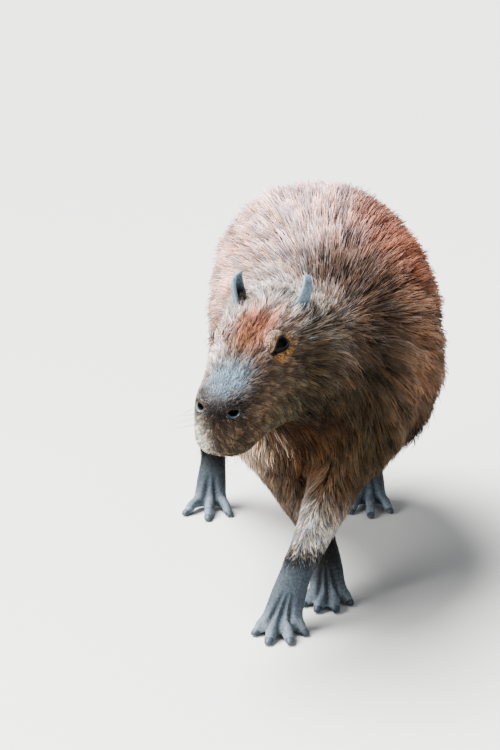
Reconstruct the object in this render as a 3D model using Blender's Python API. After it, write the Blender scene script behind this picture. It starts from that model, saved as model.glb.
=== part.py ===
"""A life-size capybara, walking and turning to its right, as a still museum model.

Metres, +Z up. The animal faces -Y, so its left side is at +X. It stands on z = 0, and the origin is on the
floor under the middle of its box.
"""

import math

import bmesh
import bpy
import numpy as np
from mathutils import Matrix, Vector
from mathutils.bvhtree import BVHTree

# Driving sizes of the animal
WITHERS_HEIGHT = 0.500
RUMP_HEIGHT = 0.558
BELLY_HEIGHT = 0.184
TRUNK_HALF_WIDTH = 0.163
MUZZLE_HALF_WIDTH = 0.045
CHEEK_HALF_WIDTH = 0.068
EYE_RADIUS = 0.0165
LID_THICKNESS = 0.0036
EYE_OPENING = (0.0155, 0.0078)
EAR_HEIGHT = 0.046
EAR_HALF_WIDTH = 0.0165
EAR_WALL = 0.0040
EAR_CUT_HEIGHT = 0.009
NOSTRIL = (0.0050, 0.0076, 0.0110)
LIP_GROOVE = (0.0014, 0.0048)
PHILTRUM_GROOVE = (0.0012, 0.0030)
CLAW_LENGTH = 0.012
TOE_HALF_WIDTH = 0.0098

# The coat's locks: flat tapered solids that overlap like tiles along its lie, over a core below their tips
CORE_DEPTH = 0.011
LOCK_SPACING = 0.0560
LOCK_LENGTH = 0.115
LOCK_HALF_WIDTH = 0.029
LOCK_THICKNESS = 0.0085
LOCK_STATIONS = (-0.08, 0.16, 0.46, 0.76, 1.0)
LOCK_WIDTHS = (0.60, 0.95, 1.0, 0.60, 0.0)
LOCK_LIFTS = (-0.014, -0.004, 0.0035, 0.0095, 0.0160)
LOCK_JITTER = 0.22
SEED = 7

# How the surfaces are made
VOXEL = 0.0040
GAP = 0.0003
WHOLE_TRIANGLES = 4400
FINER_HEAD = 0.075
FINER_FEET = 0.10

# The middle of the animal's box in the frame of the numbers below
MIDDLE = (0.0152, 0.0124)

# The head's own frame: x towards the nose, y to its left, z up, from the base of the skull
HEAD_AT = Vector((-0.053, -0.236, 0.443))
HEAD_YAW = math.radians(-20.4)
HEAD_PITCH = math.radians(13.2)
HEAD_ROLL = math.radians(-4.8)
FACING = Matrix(((0, 1, 0), (-1, 0, 0), (0, 0, 1)))

# Head features in the head's frame, for its left side
EYE_AT = (0.1070, 0.0395, 0.0465)
EYE_LOOKS = (0.38, 0.82, 0.42)
EYE_SLANT = math.radians(-13)
EAR_AT = (0.0300, 0.0430, 0.0670)
EAR_UP = (-0.22, 0.20, 1.0)
EAR_OPENS = (-0.12, -1.0, -0.05)
NOSTRIL_AT = (0.2425, 0.0255, 0.0115)
NOSTRIL_LOOKS = (0.80, 0.55, 0.15)
MOUTH = (
    (0.244, 0.000, -0.056),
    (0.240, 0.018, -0.055),
    (0.224, 0.036, -0.056),
    (0.200, 0.043, -0.059),
    (0.178, 0.046, -0.064),
)
PHILTRUM = (
    (0.250, 0.0, 0.000),
    (0.250, 0.0, -0.014),
    (0.249, 0.0, -0.030),
    (0.247, 0.0, -0.044),
    (0.244, 0.0, -0.056),
)

# Trunk sections: y, middle x, top, bottom, half width, coat
TRUNK = (
    (0.452, 0.004, 0.400, 0.330, 0.032, 0.016),
    (0.442, 0.004, 0.438, 0.290, 0.076, 0.020),
    (0.410, 0.009, 0.490, 0.243, 0.118, 0.027),
    (0.350, 0.014, 0.534, 0.212, 0.144, 0.030),
    (0.270, 0.023, RUMP_HEIGHT, 0.195, 0.160, 0.030),
    (0.170, 0.035, 0.556, 0.187, 0.165, 0.029),
    (0.070, 0.043, 0.541, BELLY_HEIGHT, TRUNK_HALF_WIDTH, 0.028),
    (-0.020, 0.041, 0.520, 0.188, 0.153, 0.026),
    (-0.095, 0.028, WITHERS_HEIGHT, 0.199, 0.135, 0.024),
    (-0.155, 0.004, 0.487, 0.214, 0.114, 0.023),
    (-0.200, -0.012, 0.474, 0.245, 0.095, 0.022),
    (-0.225, -0.022, 0.452, 0.290, 0.068, 0.018),
)

# Neck sections along the way into the head: centre, half width, half height, coat
NECK = (
    ((0.004, -0.080, 0.368), 0.126, 0.116, 0.022),
    ((-0.012, -0.150, 0.382), 0.112, 0.107, 0.022),
    ((-0.029, -0.200, 0.401), 0.095, 0.096, 0.020),
    ((-0.046, -0.245, 0.414), 0.084, 0.092, 0.014),
    ((-0.060, -0.285, 0.416), 0.071, 0.083, 0.010),
)

# Head sections in the head's frame: x, top, bottom, half width, squareness, coat
HEAD = (
    (0.2490, -0.004, -0.034, 0.018, 2.4, 0.001),
    (0.2460, 0.014, -0.052, 0.030, 2.7, 0.001),
    (0.2350, 0.026, -0.064, 0.0380, 3.0, 0.002),
    (0.2100, 0.034, -0.072, MUZZLE_HALF_WIDTH - 0.002, 3.0, 0.003),
    (0.1750, 0.041, -0.077, MUZZLE_HALF_WIDTH + 0.001, 2.8, 0.004),
    (0.1380, 0.051, -0.083, 0.053, 2.9, 0.004),
    (0.1020, 0.061, -0.090, 0.060, 3.1, 0.005),
    (0.0650, 0.067, -0.096, 0.066, 2.8, 0.007),
    (0.0300, 0.069, -0.096, CHEEK_HALF_WIDTH, 2.5, 0.010),
    (-0.0050, 0.066, -0.088, 0.067, 2.3, 0.013),
    (-0.0400, 0.057, -0.074, 0.060, 2.1, 0.016),
)

# Limbs, from the trunk down: joint, half width across, half width fore and aft, coat
FRONT_LEFT = (
    ((0.074, -0.080, 0.400), 0.046, 0.075, 0.022),
    ((0.096, -0.118, 0.335), 0.054, 0.076, 0.022),
    ((0.083, -0.150, 0.270), 0.050, 0.060, 0.018),
    ((0.050, -0.164, 0.214), 0.036, 0.043, 0.013),
    ((0.022, -0.198, 0.158), 0.0290, 0.033, 0.008),
    ((-0.002, -0.228, 0.112), 0.0250, 0.026, 0.003),
    ((-0.022, -0.252, 0.074), 0.0250, 0.022, 0.001),
    ((-0.036, -0.276, 0.038), 0.0290, 0.017, 0.0),
    ((-0.044, -0.290, 0.0118), 0.0320, 0.014, 0.0),
)
FRONT_RIGHT = (
    ((-0.058, -0.070, 0.400), 0.046, 0.075, 0.022),
    ((-0.074, -0.095, 0.335), 0.054, 0.076, 0.022),
    ((-0.066, -0.106, 0.270), 0.050, 0.060, 0.018),
    ((-0.045, -0.106, 0.214), 0.036, 0.043, 0.012),
    ((-0.016, -0.119, 0.158), 0.0290, 0.032, 0.007),
    ((0.010, -0.136, 0.112), 0.0245, 0.025, 0.003),
    ((0.026, -0.150, 0.074), 0.0235, 0.021, 0.001),
    ((0.030, -0.166, 0.040), 0.0280, 0.017, 0.0),
    ((0.032, -0.177, 0.0112), 0.0300, 0.014, 0.0),
)
HIND_LEFT = (
    ((0.078, 0.285, 0.420), 0.058, 0.100, 0.024),
    ((0.104, 0.245, 0.340), 0.058, 0.102, 0.022),
    ((0.124, 0.205, 0.272), 0.047, 0.077, 0.018),
    ((0.130, 0.230, 0.213), 0.038, 0.055, 0.014),
    ((0.130, 0.283, 0.158), 0.0280, 0.035, 0.007),
    ((0.128, 0.316, 0.112), 0.0235, 0.026, 0.003),
    ((0.126, 0.302, 0.066), 0.0240, 0.021, 0.001),
    ((0.125, 0.274, 0.031), 0.0290, 0.017, 0.0),
    ((0.125, 0.252, 0.0115), 0.0320, 0.014, 0.0),
)
HIND_RIGHT = (
    ((-0.066, 0.290, 0.420), 0.054, 0.100, 0.024),
    ((-0.084, 0.250, 0.340), 0.054, 0.102, 0.022),
    ((-0.100, 0.200, 0.272), 0.044, 0.077, 0.018),
    ((-0.120, 0.215, 0.218), 0.037, 0.055, 0.014),
    ((-0.142, 0.260, 0.168), 0.0280, 0.035, 0.007),
    ((-0.154, 0.288, 0.124), 0.0235, 0.026, 0.003),
    ((-0.156, 0.274, 0.080), 0.0235, 0.020, 0.001),
    ((-0.159, 0.254, 0.043), 0.0280, 0.017, 0.0),
    ((-0.161, 0.237, 0.0125), 0.0310, 0.014, 0.0),
)
LIMBS = {
    "front_left": FRONT_LEFT,
    "front_right": FRONT_RIGHT,
    "hind_left": HIND_LEFT,
    "hind_right": HIND_RIGHT,
}

# Boxes that hold each foot and each leg but nothing beside it: across, forward, and down from the joint
FOOT_BOX = {
    "front_left": ((-0.065, -0.045, 0.0), (0.065, 0.120, 0.16)),
    "front_right": ((-0.080, -0.060, 0.0), (0.065, 0.100, 0.16)),
    "hind_left": ((-0.065, -0.060, 0.0), (0.065, 0.140, 0.16)),
    "hind_right": ((-0.065, -0.060, 0.0), (0.065, 0.140, 0.16)),
}
LEG_BOX = {
    "front_left": ((-0.045, -0.044, 0.0), (0.060, 0.060, 0.20)),
    "front_right": ((-0.060, -0.060, 0.0), (0.045, 0.046, 0.20)),
    "hind_left": ((-0.060, -0.085, 0.0), (0.060, 0.085, 0.22)),
    "hind_right": ((-0.060, -0.085, 0.0), (0.060, 0.085, 0.22)),
}

# The joint where each leg leaves the trunk, and the one where its foot begins
LEG_JOINT = 3
FOOT_JOINT = 6

# Toes of each foot: the root on the foot, and the tip on the floor, as x, y
TOE_ROOT_HEIGHT = 0.0130
TOE_TIP_HEIGHT = 0.0030
TOES = {
    "front_left": (
        ((-0.064, -0.284), (-0.086, -0.312)),
        ((-0.054, -0.294), (-0.064, -0.346)),
        ((-0.036, -0.296), (-0.030, -0.346)),
        ((-0.024, -0.284), (-0.005, -0.312)),
    ),
    "front_right": (
        ((0.011, -0.178), (-0.010, -0.204)),
        ((0.023, -0.188), (0.012, -0.228)),
        ((0.040, -0.188), (0.042, -0.228)),
        ((0.052, -0.176), (0.068, -0.200)),
    ),
    "hind_left": (
        ((0.103, 0.250), (0.086, 0.200)),
        ((0.124, 0.244), (0.122, 0.180)),
        ((0.146, 0.250), (0.160, 0.204)),
    ),
    "hind_right": (
        ((-0.182, 0.236), (-0.207, 0.196)),
        ((-0.161, 0.230), (-0.164, 0.168)),
        ((-0.140, 0.238), (-0.124, 0.190)),
    ),
}


def head_turn():
    """The matrix that carries the head's frame to the model's."""
    yaw = Matrix.Rotation(HEAD_YAW, 3, "Z")
    pitch = Matrix.Rotation(HEAD_PITCH, 3, "Y")
    roll = Matrix.Rotation(HEAD_ROLL, 3, "X")
    return Matrix.Translation(HEAD_AT) @ (FACING @ yaw @ pitch @ roll).to_4x4()


def smooth_rows(rows, steps):
    """Catmull-Rom rows between the given ones, so that a few stations give a smooth shape."""
    rows = np.array(rows, float)
    before = np.vstack([2 * rows[0] - rows[1], rows[:-2]])
    after = np.vstack([rows[2:], 2 * rows[-1] - rows[-2]])
    found = []
    for p0, p1, p2, p3 in zip(before, rows[:-1], rows[1:], after):
        for t in np.arange(steps) / steps:
            found.append(
                0.5 * (2 * p1 + (p2 - p0) * t + (2 * p0 - 5 * p1 + 4 * p2 - p3) * t * t
                       + (3 * p1 - p0 - 3 * p2 + p3) * t ** 3)
            )
    return np.array(found + [rows[-1]])


def superellipse(width, up, down, power, sides):
    """A closed section as (across, upward) pairs, with its own height above and below the middle."""
    turn = np.linspace(0, 2 * math.pi, sides, endpoint=False)
    c, s = np.cos(turn), np.sin(turn)
    across = width * np.sign(c) * np.abs(c) ** (2 / power)
    upward = np.where(s >= 0, up, down) * np.sign(s) * np.abs(s) ** (2 / power)
    return across, upward


def skin_rings(rings):
    """A closed mesh through rings of points, each end closed by a fan."""
    count, sides = len(rings), len(rings[0])
    points = np.vstack([*rings, rings[0].mean(0)[None], rings[-1].mean(0)[None]])
    first, last = count * sides, count * sides + 1
    faces = []
    for i in range(count - 1):
        for j in range(sides):
            a, b = i * sides + j, i * sides + (j + 1) % sides
            faces.append((a, b, b + sides, a + sides))
    for j in range(sides):
        k = (j + 1) % sides
        faces.append((k, j, first))
        faces.append(((count - 1) * sides + j, (count - 1) * sides + k, last))
    return points, faces


def mesh_object(name, points, faces):
    """A new object from points and faces, in flat triangles that point out."""
    mesh = bpy.data.meshes.new(name)
    mesh.from_pydata([tuple(p) for p in points], [], faces)
    obj = bpy.data.objects.new(name, mesh)
    bpy.context.scene.collection.objects.link(obj)
    work = bmesh.new()
    work.from_mesh(mesh)
    bmesh.ops.triangulate(work, faces=work.faces)
    bmesh.ops.recalc_face_normals(work, faces=work.faces)
    work.to_mesh(mesh)
    work.free()
    return obj


def trunk_loft(coat_share, steps=5, sides=40):
    """The trunk's loft, grown by a share of the coat given by the function coat_share."""
    rings = []
    for y, x, top, bottom, half, coat in smooth_rows(TRUNK, steps):
        grow = coat_share(coat)
        middle = bottom + 0.44 * (top - bottom)
        across, upward = superellipse(half + grow, top - middle + grow, middle - bottom + grow, 2.25, sides)
        back = grow * ramp(y, TRUNK[2][0], TRUNK[0][0])
        rings.append(np.stack([x + across, np.full(sides, y + back), middle + upward], 1))
    return skin_rings(rings)


def tube_loft(stations, across_ref, coat_share, steps=5, sides=24, power=2.2):
    """A loft through joints: centre, half width along across_ref, half width square to it, coat."""
    rows = smooth_rows([[*c, a, b, coat] for c, a, b, coat in stations], steps)
    rings = []
    for i, row in enumerate(rows):
        along = Vector(rows[min(i + 1, len(rows) - 1)][:3] - rows[max(i - 1, 0)][:3]).normalized()
        ref = Vector(across_ref)
        u = (ref - along * ref.dot(along)).normalized()
        v = along.cross(u)
        grow = coat_share(row[5])
        across, upward = superellipse(row[3] + grow, row[4] + grow, row[4] + grow, power, sides)
        rings.append(row[:3] + across[:, None] * np.array(u) + upward[:, None] * np.array(v))
    return skin_rings(rings)


def head_loft(coat_share, steps=4, sides=40):
    turn = head_turn()
    rings = []
    for x, top, bottom, half, power, coat in smooth_rows(HEAD, steps):
        grow = coat_share(coat)
        middle = bottom + 0.47 * (top - bottom)
        across, upward = superellipse(half + grow, top - middle + grow, middle - bottom + grow, power, sides)
        local = np.stack([np.full(sides, x), across, middle + upward], 1)
        rings.append(np.array([turn @ Vector(p) for p in local]))
    return skin_rings(rings)


def lid_bulges():
    """The rounded lids over each eyeball, before their opening is cut."""
    turn = head_turn()
    bulges = []
    for side in (-1, 1):
        centre = turn @ Vector((EYE_AT[0], side * EYE_AT[1], EYE_AT[2]))
        bulges.append(ball(centre, EYE_RADIUS + LID_THICKNESS, 20, 12))
    return bulges


def ball(centre, radius, segments, rings):
    """A sphere as rings from pole to pole."""
    found = []
    for i in range(1, rings):
        polar = math.pi * i / rings
        turn = np.linspace(0, 2 * math.pi, segments, endpoint=False)
        ring = np.stack([np.cos(turn), np.sin(turn), np.full(segments, math.cos(polar))], 1)
        ring[:, :2] *= math.sin(polar)
        found.append(np.array(centre) + radius * ring)
    points, faces = skin_rings(found)
    points[-2] = np.array(centre) + (0, 0, radius)
    points[-1] = np.array(centre) - (0, 0, radius)
    return points, faces


def toe_loft(root, tip, steps=4, sides=14):
    """One toe: an arched finger from the foot to its tip on the floor."""
    root, tip = Vector((*root, TOE_ROOT_HEIGHT)), Vector((*tip, TOE_TIP_HEIGHT))
    back = root + (root - tip) * 0.25
    knuckle = root.lerp(tip, 0.42) + Vector((0, 0, 0.0055))
    pad = root.lerp(tip, 0.72)
    quick = root.lerp(tip, 0.88)
    wide = TOE_HALF_WIDTH
    stations = (
        (tuple(back), wide * 0.95, 0.010, 0),
        (tuple(root), wide * 1.02, 0.0115, 0),
        (tuple(knuckle), wide * 0.96, 0.0105, 0),
        (tuple(pad), wide, 0.0095, 0),
        (tuple(quick), wide * 0.86, 0.0082, 0),
        (tuple(tip), wide * 0.55, 0.0050, 0),
    )
    along = tip - root
    return tube_loft(stations, along.cross(Vector((0, 0, 1))), no_coat, steps, sides)


def no_coat(coat):
    """The share of the coat in a surface that is bare skin."""
    return 0.0 * coat


def core_coat(coat):
    """The share of the coat in the solids' core: short coat in full, and less than half of the long coat."""
    return min(coat, CORE_DEPTH)


def joined(parts):
    """Several (points, faces) as one."""
    points, faces, start = [], [], 0
    for p, f in parts:
        points.append(p)
        faces += [tuple(k + start for k in face) for face in f]
        start += len(p)
    return np.vstack(points), faces


def evaluated_mesh(obj):
    """The object's mesh with its modifiers applied, which then replaces it."""
    graph = bpy.context.evaluated_depsgraph_get()
    mesh = bpy.data.meshes.new_from_object(obj.evaluated_get(graph))
    obj.modifiers.clear()
    obj.data = mesh
    return obj


def coordinates(mesh):
    found = np.empty(len(mesh.vertices) * 3)
    mesh.vertices.foreach_get("co", found)
    return found.reshape(-1, 3)


def relax(mesh, weight, rounds):
    """Moves each point towards the mean of its neighbours, by its weight, for a number of rounds."""
    ends = np.empty(len(mesh.edges) * 2, np.int64)
    mesh.edges.foreach_get("vertices", ends)
    a, b = ends.reshape(-1, 2).T
    points = coordinates(mesh)
    count = np.bincount(a, minlength=len(points)) + np.bincount(b, minlength=len(points))
    for _ in range(rounds):
        mean = np.empty_like(points)
        for k in range(3):
            total = np.bincount(a, points[b, k], len(points)) + np.bincount(b, points[a, k], len(points))
            mean[:, k] = total / count
        points += (mean - points) * weight[:, None]
    mesh.vertices.foreach_set("co", points.ravel())
    mesh.update()


def ramp(value, low, high):
    """0 below low, 1 above high, smooth between."""
    t = np.clip((value - low) / (high - low), 0, 1)
    return t * t * (3 - 2 * t)


def body_surface(voxel, coat_share):
    """The whole animal as one object: every loft joined, remeshed and relaxed where limbs meet the trunk."""
    parts = [trunk_loft(coat_share), tube_loft(NECK, (1, 0, 0), coat_share, sides=32), head_loft(coat_share)]
    parts += lid_bulges()
    parts += [tube_loft(joints, (1, 0, 0), coat_share) for joints in LIMBS.values()]
    for toes in TOES.values():
        parts += [toe_loft(root, tip) for root, tip in toes]
    body = mesh_object("whole", *joined(parts))
    remesh = body.modifiers.new("one skin", "REMESH")
    remesh.mode = "VOXEL"
    remesh.voxel_size = voxel
    evaluated_mesh(body)
    points = coordinates(body.data)
    face, low = face_share(points), 1 - ramp(points[:, 2], 0.05, 0.16)
    weight = 0.62 * (1 - 0.75 * np.maximum(face, low))
    rounds = round(50 * (0.0036 / voxel) ** 2)
    relax(body.data, weight, rounds)
    return body


def face_share(points):
    """1 on the head, 0 behind it, smooth between."""
    to_head = np.array(head_turn().inverted())
    local = points @ to_head[:3, :3].T + to_head[:3, 3]
    return ramp(local[:, 0], 0.03, 0.09) * ramp(points[:, 2], 0.27, 0.32)


def fewer_triangles(obj, count):
    """Thins a fine mesh to about count triangles, with the head kept finest and the feet finer."""
    points = coordinates(obj.data)
    foot = 1 - ramp(points[:, 2], 0.06, 0.10)
    coarse = np.minimum(1 - FINER_HEAD * face_share(points), 1 - FINER_FEET * foot)
    group = obj.vertex_groups.new(name="coarse")
    for level in np.arange(0.70, 1.001, 0.02):
        chosen = np.nonzero(np.abs(coarse - level) <= 0.01)[0]
        group.add([int(i) for i in chosen], float(level), "REPLACE")
    step = obj.modifiers.new("fewer", "DECIMATE")
    step.ratio = count / (2 * len(obj.data.polygons))
    step.vertex_group = group.name
    step.vertex_group_factor = 1.0
    step.use_collapse_triangulate = True
    evaluated_mesh(obj)
    obj.vertex_groups.clear()


def box_between(name, frame, low, high):
    """A closed box given by its corners in a frame."""
    corners = [(x, y, z) for x in (low[0], high[0]) for y in (low[1], high[1]) for z in (low[2], high[2])]
    faces = [(0, 1, 3, 2), (4, 6, 7, 5), (0, 4, 5, 1), (2, 3, 7, 6), (0, 2, 6, 4), (1, 5, 7, 3)]
    return mesh_object(name, [frame @ Vector(c) for c in corners], faces)


def frame_along(origin, along, ref):
    """A frame at origin with z along one direction and x near another."""
    z = Vector(along).normalized()
    x = (Vector(ref) - z * z.dot(Vector(ref))).normalized()
    y = z.cross(x)
    turn = Matrix((x, y, z)).transposed()
    return Matrix.Translation(Vector(origin)) @ turn.to_4x4()


def combine(target, other, operation, solver="EXACT"):
    """One Boolean, applied."""
    step = target.modifiers.new(operation.lower(), "BOOLEAN")
    step.object = other
    step.operation = operation
    step.solver = solver
    evaluated_mesh(target)


def remove(obj):
    bpy.data.objects.remove(obj)


def copy_of(obj, name):
    twin = bpy.data.objects.new(name, obj.data.copy())
    bpy.context.scene.collection.objects.link(twin)
    return twin


def part_off(rest, name, frame, low, high, solver="EXACT"):
    """Parts the box between two corners off as a new object, and leaves the gap in what stays."""
    piece = copy_of(rest, name)
    inner = box_between("inner", frame, low, high)
    combine(piece, inner, "INTERSECT", solver)
    outer = box_between("outer", frame, [v - GAP for v in low], [v + GAP for v in high])
    combine(rest, outer, "DIFFERENCE", solver)
    remove(inner)
    remove(outer)
    keep_largest(piece)
    return piece


def keep_largest(obj):
    """Keeps only the closed surface with the largest volume."""
    work = bmesh.new()
    work.from_mesh(obj.data)
    work.faces.ensure_lookup_table()
    seen, shells = set(), []
    for start in work.faces:
        if start.index in seen:
            continue
        shell, queue = [], [start]
        seen.add(start.index)
        while queue:
            face = queue.pop()
            shell.append(face)
            for edge in face.edges:
                for other in edge.link_faces:
                    if other.index not in seen:
                        seen.add(other.index)
                        queue.append(other)
        shells.append(shell)
    sizes = [shell_volume(shell) for shell in shells]
    best = sizes.index(max(sizes))
    for i, shell in enumerate(shells):
        if i != best:
            bmesh.ops.delete(work, geom=shell, context="FACES")
    loose = [v for v in work.verts if not v.link_faces]
    bmesh.ops.delete(work, geom=loose, context="VERTS")
    work.to_mesh(obj.data)
    work.free()


def shell_volume(faces):
    """The volume inside a closed set of faces."""
    total = 0.0
    for face in faces:
        a, *others = [v.co for v in face.verts]
        for b, c in zip(others, others[1:]):
            total += a.dot(b.cross(c)) / 6
    return total


def coat_lie(points, normals):
    """The way the coat lies at each point: back along the trunk, down its sides, chest, rump and legs."""
    down = 0.15 + 0.95 * (1 - ramp(points[:, 2], 0.24, 0.52))
    way = np.stack([np.zeros(len(points)), np.ones(len(points)), -down], 1)
    way -= normals * (way * normals).sum(1)[:, None]
    return way / np.linalg.norm(way, axis=1)[:, None]


def even_roots(points, allowed, spacing, random):
    """Points picked in random order, none nearer to another than the spacing."""
    order = random.permutation(np.nonzero(allowed)[0])
    open_points = points[order]
    free = np.ones(len(order), bool)
    chosen = []
    for i in range(len(order)):
        if free[i]:
            chosen.append(order[i])
            free &= ((open_points - open_points[i]) ** 2).sum(1) > spacing ** 2
    return chosen


def lock_solid(surface, root, way, size, width):
    """One lock: a strip of triangular section from under the surface at its root to a point above it."""
    points = []
    for at, wide, lift in zip(LOCK_STATIONS, LOCK_WIDTHS, LOCK_LIFTS):
        ahead = root + way * (LOCK_LENGTH * size * at)
        place, normal, _, _ = surface.find_nearest(ahead)
        place = place.lerp(ahead, 0.30 * max(at, 0)) + normal * lift
        across = way.cross(normal).normalized() * (LOCK_HALF_WIDTH * width * wide)
        ridge = normal * (LOCK_THICKNESS * (0.35 + 0.65 * wide))
        if wide > 0:
            points += [place + across, place + ridge, place - across]
        else:
            points.append(place + ridge / 3)
    tip = len(points) - 1
    faces = [(0, 1, 2), (tip - 3, tip - 2, tip), (tip - 2, tip - 1, tip), (tip - 1, tip - 3, tip)]
    for start in range(0, tip - 3, 3):
        for a, b in ((0, 1), (1, 2), (2, 0)):
            faces.append((start + a, start + b, start + 3 + b, start + 3 + a))
    return points, faces


def add_locks(body, points, normals):
    """The long coat of trunk and neck, fused with the core by one union."""
    random = np.random.default_rng(SEED)
    to_head = np.array(head_turn().inverted())
    local_x = points @ to_head[0, :3] + to_head[0, 3]
    behind_head = (local_x < -0.004) | (points[:, 2] < 0.28)
    allowed = behind_head & (points[:, 2] > 0.175) & ~beside_legs(points, normals)
    surface = BVHTree.FromObject(body, bpy.context.evaluated_depsgraph_get())
    lie = coat_lie(points, normals)
    coat = bpy.data.collections.new("coat")
    bpy.context.scene.collection.children.link(coat)
    for i in even_roots(points, allowed, LOCK_SPACING, random):
        root, normal = Vector(points[i]), Vector(normals[i])
        turn = Matrix.Rotation(random.uniform(-LOCK_JITTER, LOCK_JITTER), 3, normal)
        size, width = random.uniform(0.85, 1.15), random.uniform(0.88, 1.12)
        lock = mesh_object("lock", *lock_solid(surface, root, turn @ Vector(lie[i]), size, width))
        bpy.context.scene.collection.objects.unlink(lock)
        coat.objects.link(lock)
    step = body.modifiers.new("locks", "BOOLEAN")
    step.operation = "UNION"
    step.operand_type = "COLLECTION"
    step.collection = coat
    step.solver = "MANIFOLD"
    evaluated_mesh(body)
    for lock in list(coat.objects):
        remove(lock)
    bpy.data.collections.remove(coat)
    keep_largest(body)


def beside_legs(points, normals):
    """True low down beside the legs, except on the chest, where no lock could hang free."""
    low = points[:, 2] < 0.270
    front = (points[:, 1] < -0.05) & (normals[:, 1] > -0.5)
    back = points[:, 1] > 0.15
    return low & (front | back)


def normals_of(mesh):
    found = np.empty(len(mesh.vertices) * 3)
    mesh.vertices.foreach_get("normal", found)
    return found.reshape(-1, 3)


def part_feet(rest):
    """The claws and the four feet, each parted off with a thin cut."""
    pieces = {}
    for limb in LIMBS:
        for number, (root, tip) in enumerate(TOES[limb], 1):
            root_at, tip_at = Vector((*root, TOE_ROOT_HEIGHT)), Vector((*tip, TOE_TIP_HEIGHT))
            along = (tip_at - root_at).normalized()
            frame = frame_along(tip_at - along * CLAW_LENGTH, along, (0, 0, 1))
            name = f"{limb}_claw_{number}"
            reach = TOE_HALF_WIDTH * 1.2
            pieces[name] = part_off(rest, name, frame, (-0.03, -reach, 0), (0.03, reach, 0.03))
    for limb, joints in LIMBS.items():
        at = Vector(joints[FOOT_JOINT][0])
        before, after = Vector(joints[FOOT_JOINT - 1][0]), Vector(joints[FOOT_JOINT + 1][0])
        frame = frame_along(at, after - before, (1, 0, 0))
        pieces[f"{limb}_foot"] = part_off(rest, f"{limb}_foot", frame, *FOOT_BOX[limb])
    return pieces


def part_legs(rest):
    pieces = {}
    for limb, joints in LIMBS.items():
        at, wrist = Vector(joints[LEG_JOINT][0]), Vector(joints[FOOT_JOINT][0])
        frame = frame_along(at, wrist - at, (1, 0, 0))
        pieces[f"{limb}_leg"] = part_off(rest, f"{limb}_leg", frame, *LEG_BOX[limb], solver="MANIFOLD")
    return pieces


def part_head_and_neck(rest):
    turn = head_turn()
    head = part_off(rest, "head", turn, (-0.012, -0.20, -0.128), (0.40, 0.20, 0.20), "MANIFOLD")
    frame = frame_along((0.0, -0.172, 0.385), (-0.15, -0.88, 0.45), (1, 0, 0))
    neck = part_off(rest, "neck", frame, (-0.3, -0.25, 0), (0.3, 0.25, 0.3), "MANIFOLD")
    return {"head": head, "neck": neck}


def side_frame(side):
    """The head's frame, mirrored for its right side."""
    return head_turn() @ Matrix.Diagonal((1, side, 1, 1))


def eye_frame(side):
    """A frame at the middle of an eyeball: z out through the opening, x towards its front corner."""
    frame = side_frame(side)
    turn = frame.to_3x3()
    z = (turn @ Vector(EYE_LOOKS)).normalized()
    fore = turn @ Vector((math.cos(EYE_SLANT), 0, math.sin(EYE_SLANT)))
    x = (fore - z * z.dot(fore)).normalized()
    y = turn @ Vector((0, 0, 1))
    y = (y - z * z.dot(y) - x * x.dot(y)).normalized()
    return Matrix.Translation(frame @ Vector(EYE_AT)) @ Matrix((x, y, z)).transposed().to_4x4()


def open_eyes(head):
    """The sockets behind the lids, and the almond opening between the lids."""
    wide, tall = EYE_OPENING
    turn = np.linspace(0, 2 * math.pi, 16, endpoint=False)
    along = wide * np.cos(turn)
    upward = tall * np.sin(turn) * (1 - 0.35 * np.cos(turn) ** 2)
    for side in (-1, 1):
        frame = eye_frame(side)
        socket = mesh_object("socket", *ball(frame.translation, EYE_RADIUS + GAP, 14, 9))
        combine(head, socket, "DIFFERENCE", "MANIFOLD")
        remove(socket)
        rings = []
        for out, spread in ((0.002, 0.7), (0.03, 1.5)):
            ring = np.stack([along * spread, upward * spread, np.full(len(turn), out)], 1)
            rings.append(np.array([frame @ Vector(point) for point in ring]))
        opening = mesh_object("opening", *skin_rings(rings))
        combine(head, opening, "DIFFERENCE", "MANIFOLD")
        remove(opening)
    keep_largest(head)


def open_nostrils(head):
    """Oval pits that look forward and out."""
    for side in (-1, 1):
        frame = side_frame(side)
        turn = frame.to_3x3()
        looks, up = turn @ Vector(NOSTRIL_LOOKS), turn @ Vector((0.3, 0.2, 1))
        pit_frame = frame_along(frame @ Vector(NOSTRIL_AT), looks, up)
        points, faces = ball((0, 0, 0), 1.0, 12, 8)
        points = [pit_frame @ Vector(p * np.array(NOSTRIL)) for p in points]
        pit = mesh_object("pit", points, faces)
        combine(head, pit, "DIFFERENCE", "MANIFOLD")
        remove(pit)


def groove(head, path, half_sizes, ref):
    """A groove of lens section along a path given in the head's frame, laid on the head's surface."""
    turn = head_turn()
    surface = BVHTree.FromObject(head, bpy.context.evaluated_depsgraph_get())
    half_width, depth = half_sizes
    last = len(path) - 1
    stations = []
    for i, point in enumerate(path):
        place = surface.find_nearest(turn @ Vector(point))[0]
        end = 0.35 if i in (0, last) else 1.0
        stations.append((tuple(place), half_width * end, depth * end, 0))
    across = turn.to_3x3() @ Vector(ref)
    cutter = mesh_object("groove", *tube_loft(stations, across, no_coat, steps=3, sides=8, power=1.4))
    combine(head, cutter, "DIFFERENCE", "MANIFOLD")
    remove(cutter)


def cut_mouth(head):
    """The closed line of the mouth, and the cleft of the upper lip."""
    left = [Vector(p) for p in MOUTH]
    right = [Vector((p.x, -p.y, p.z)) for p in reversed(left[1:])]
    groove(head, right + left, LIP_GROOVE, (0, 0, 1))
    groove(head, PHILTRUM, PHILTRUM_GROOVE, (0, 1, 0))


def make_eyes():
    eyes = {}
    for word, side in (("right", -1), ("left", 1)):
        name = f"eye_{word}"
        eyes[name] = mesh_object(name, *ball(eye_frame(side).translation, EYE_RADIUS, 14, 9))
    return eyes


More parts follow.
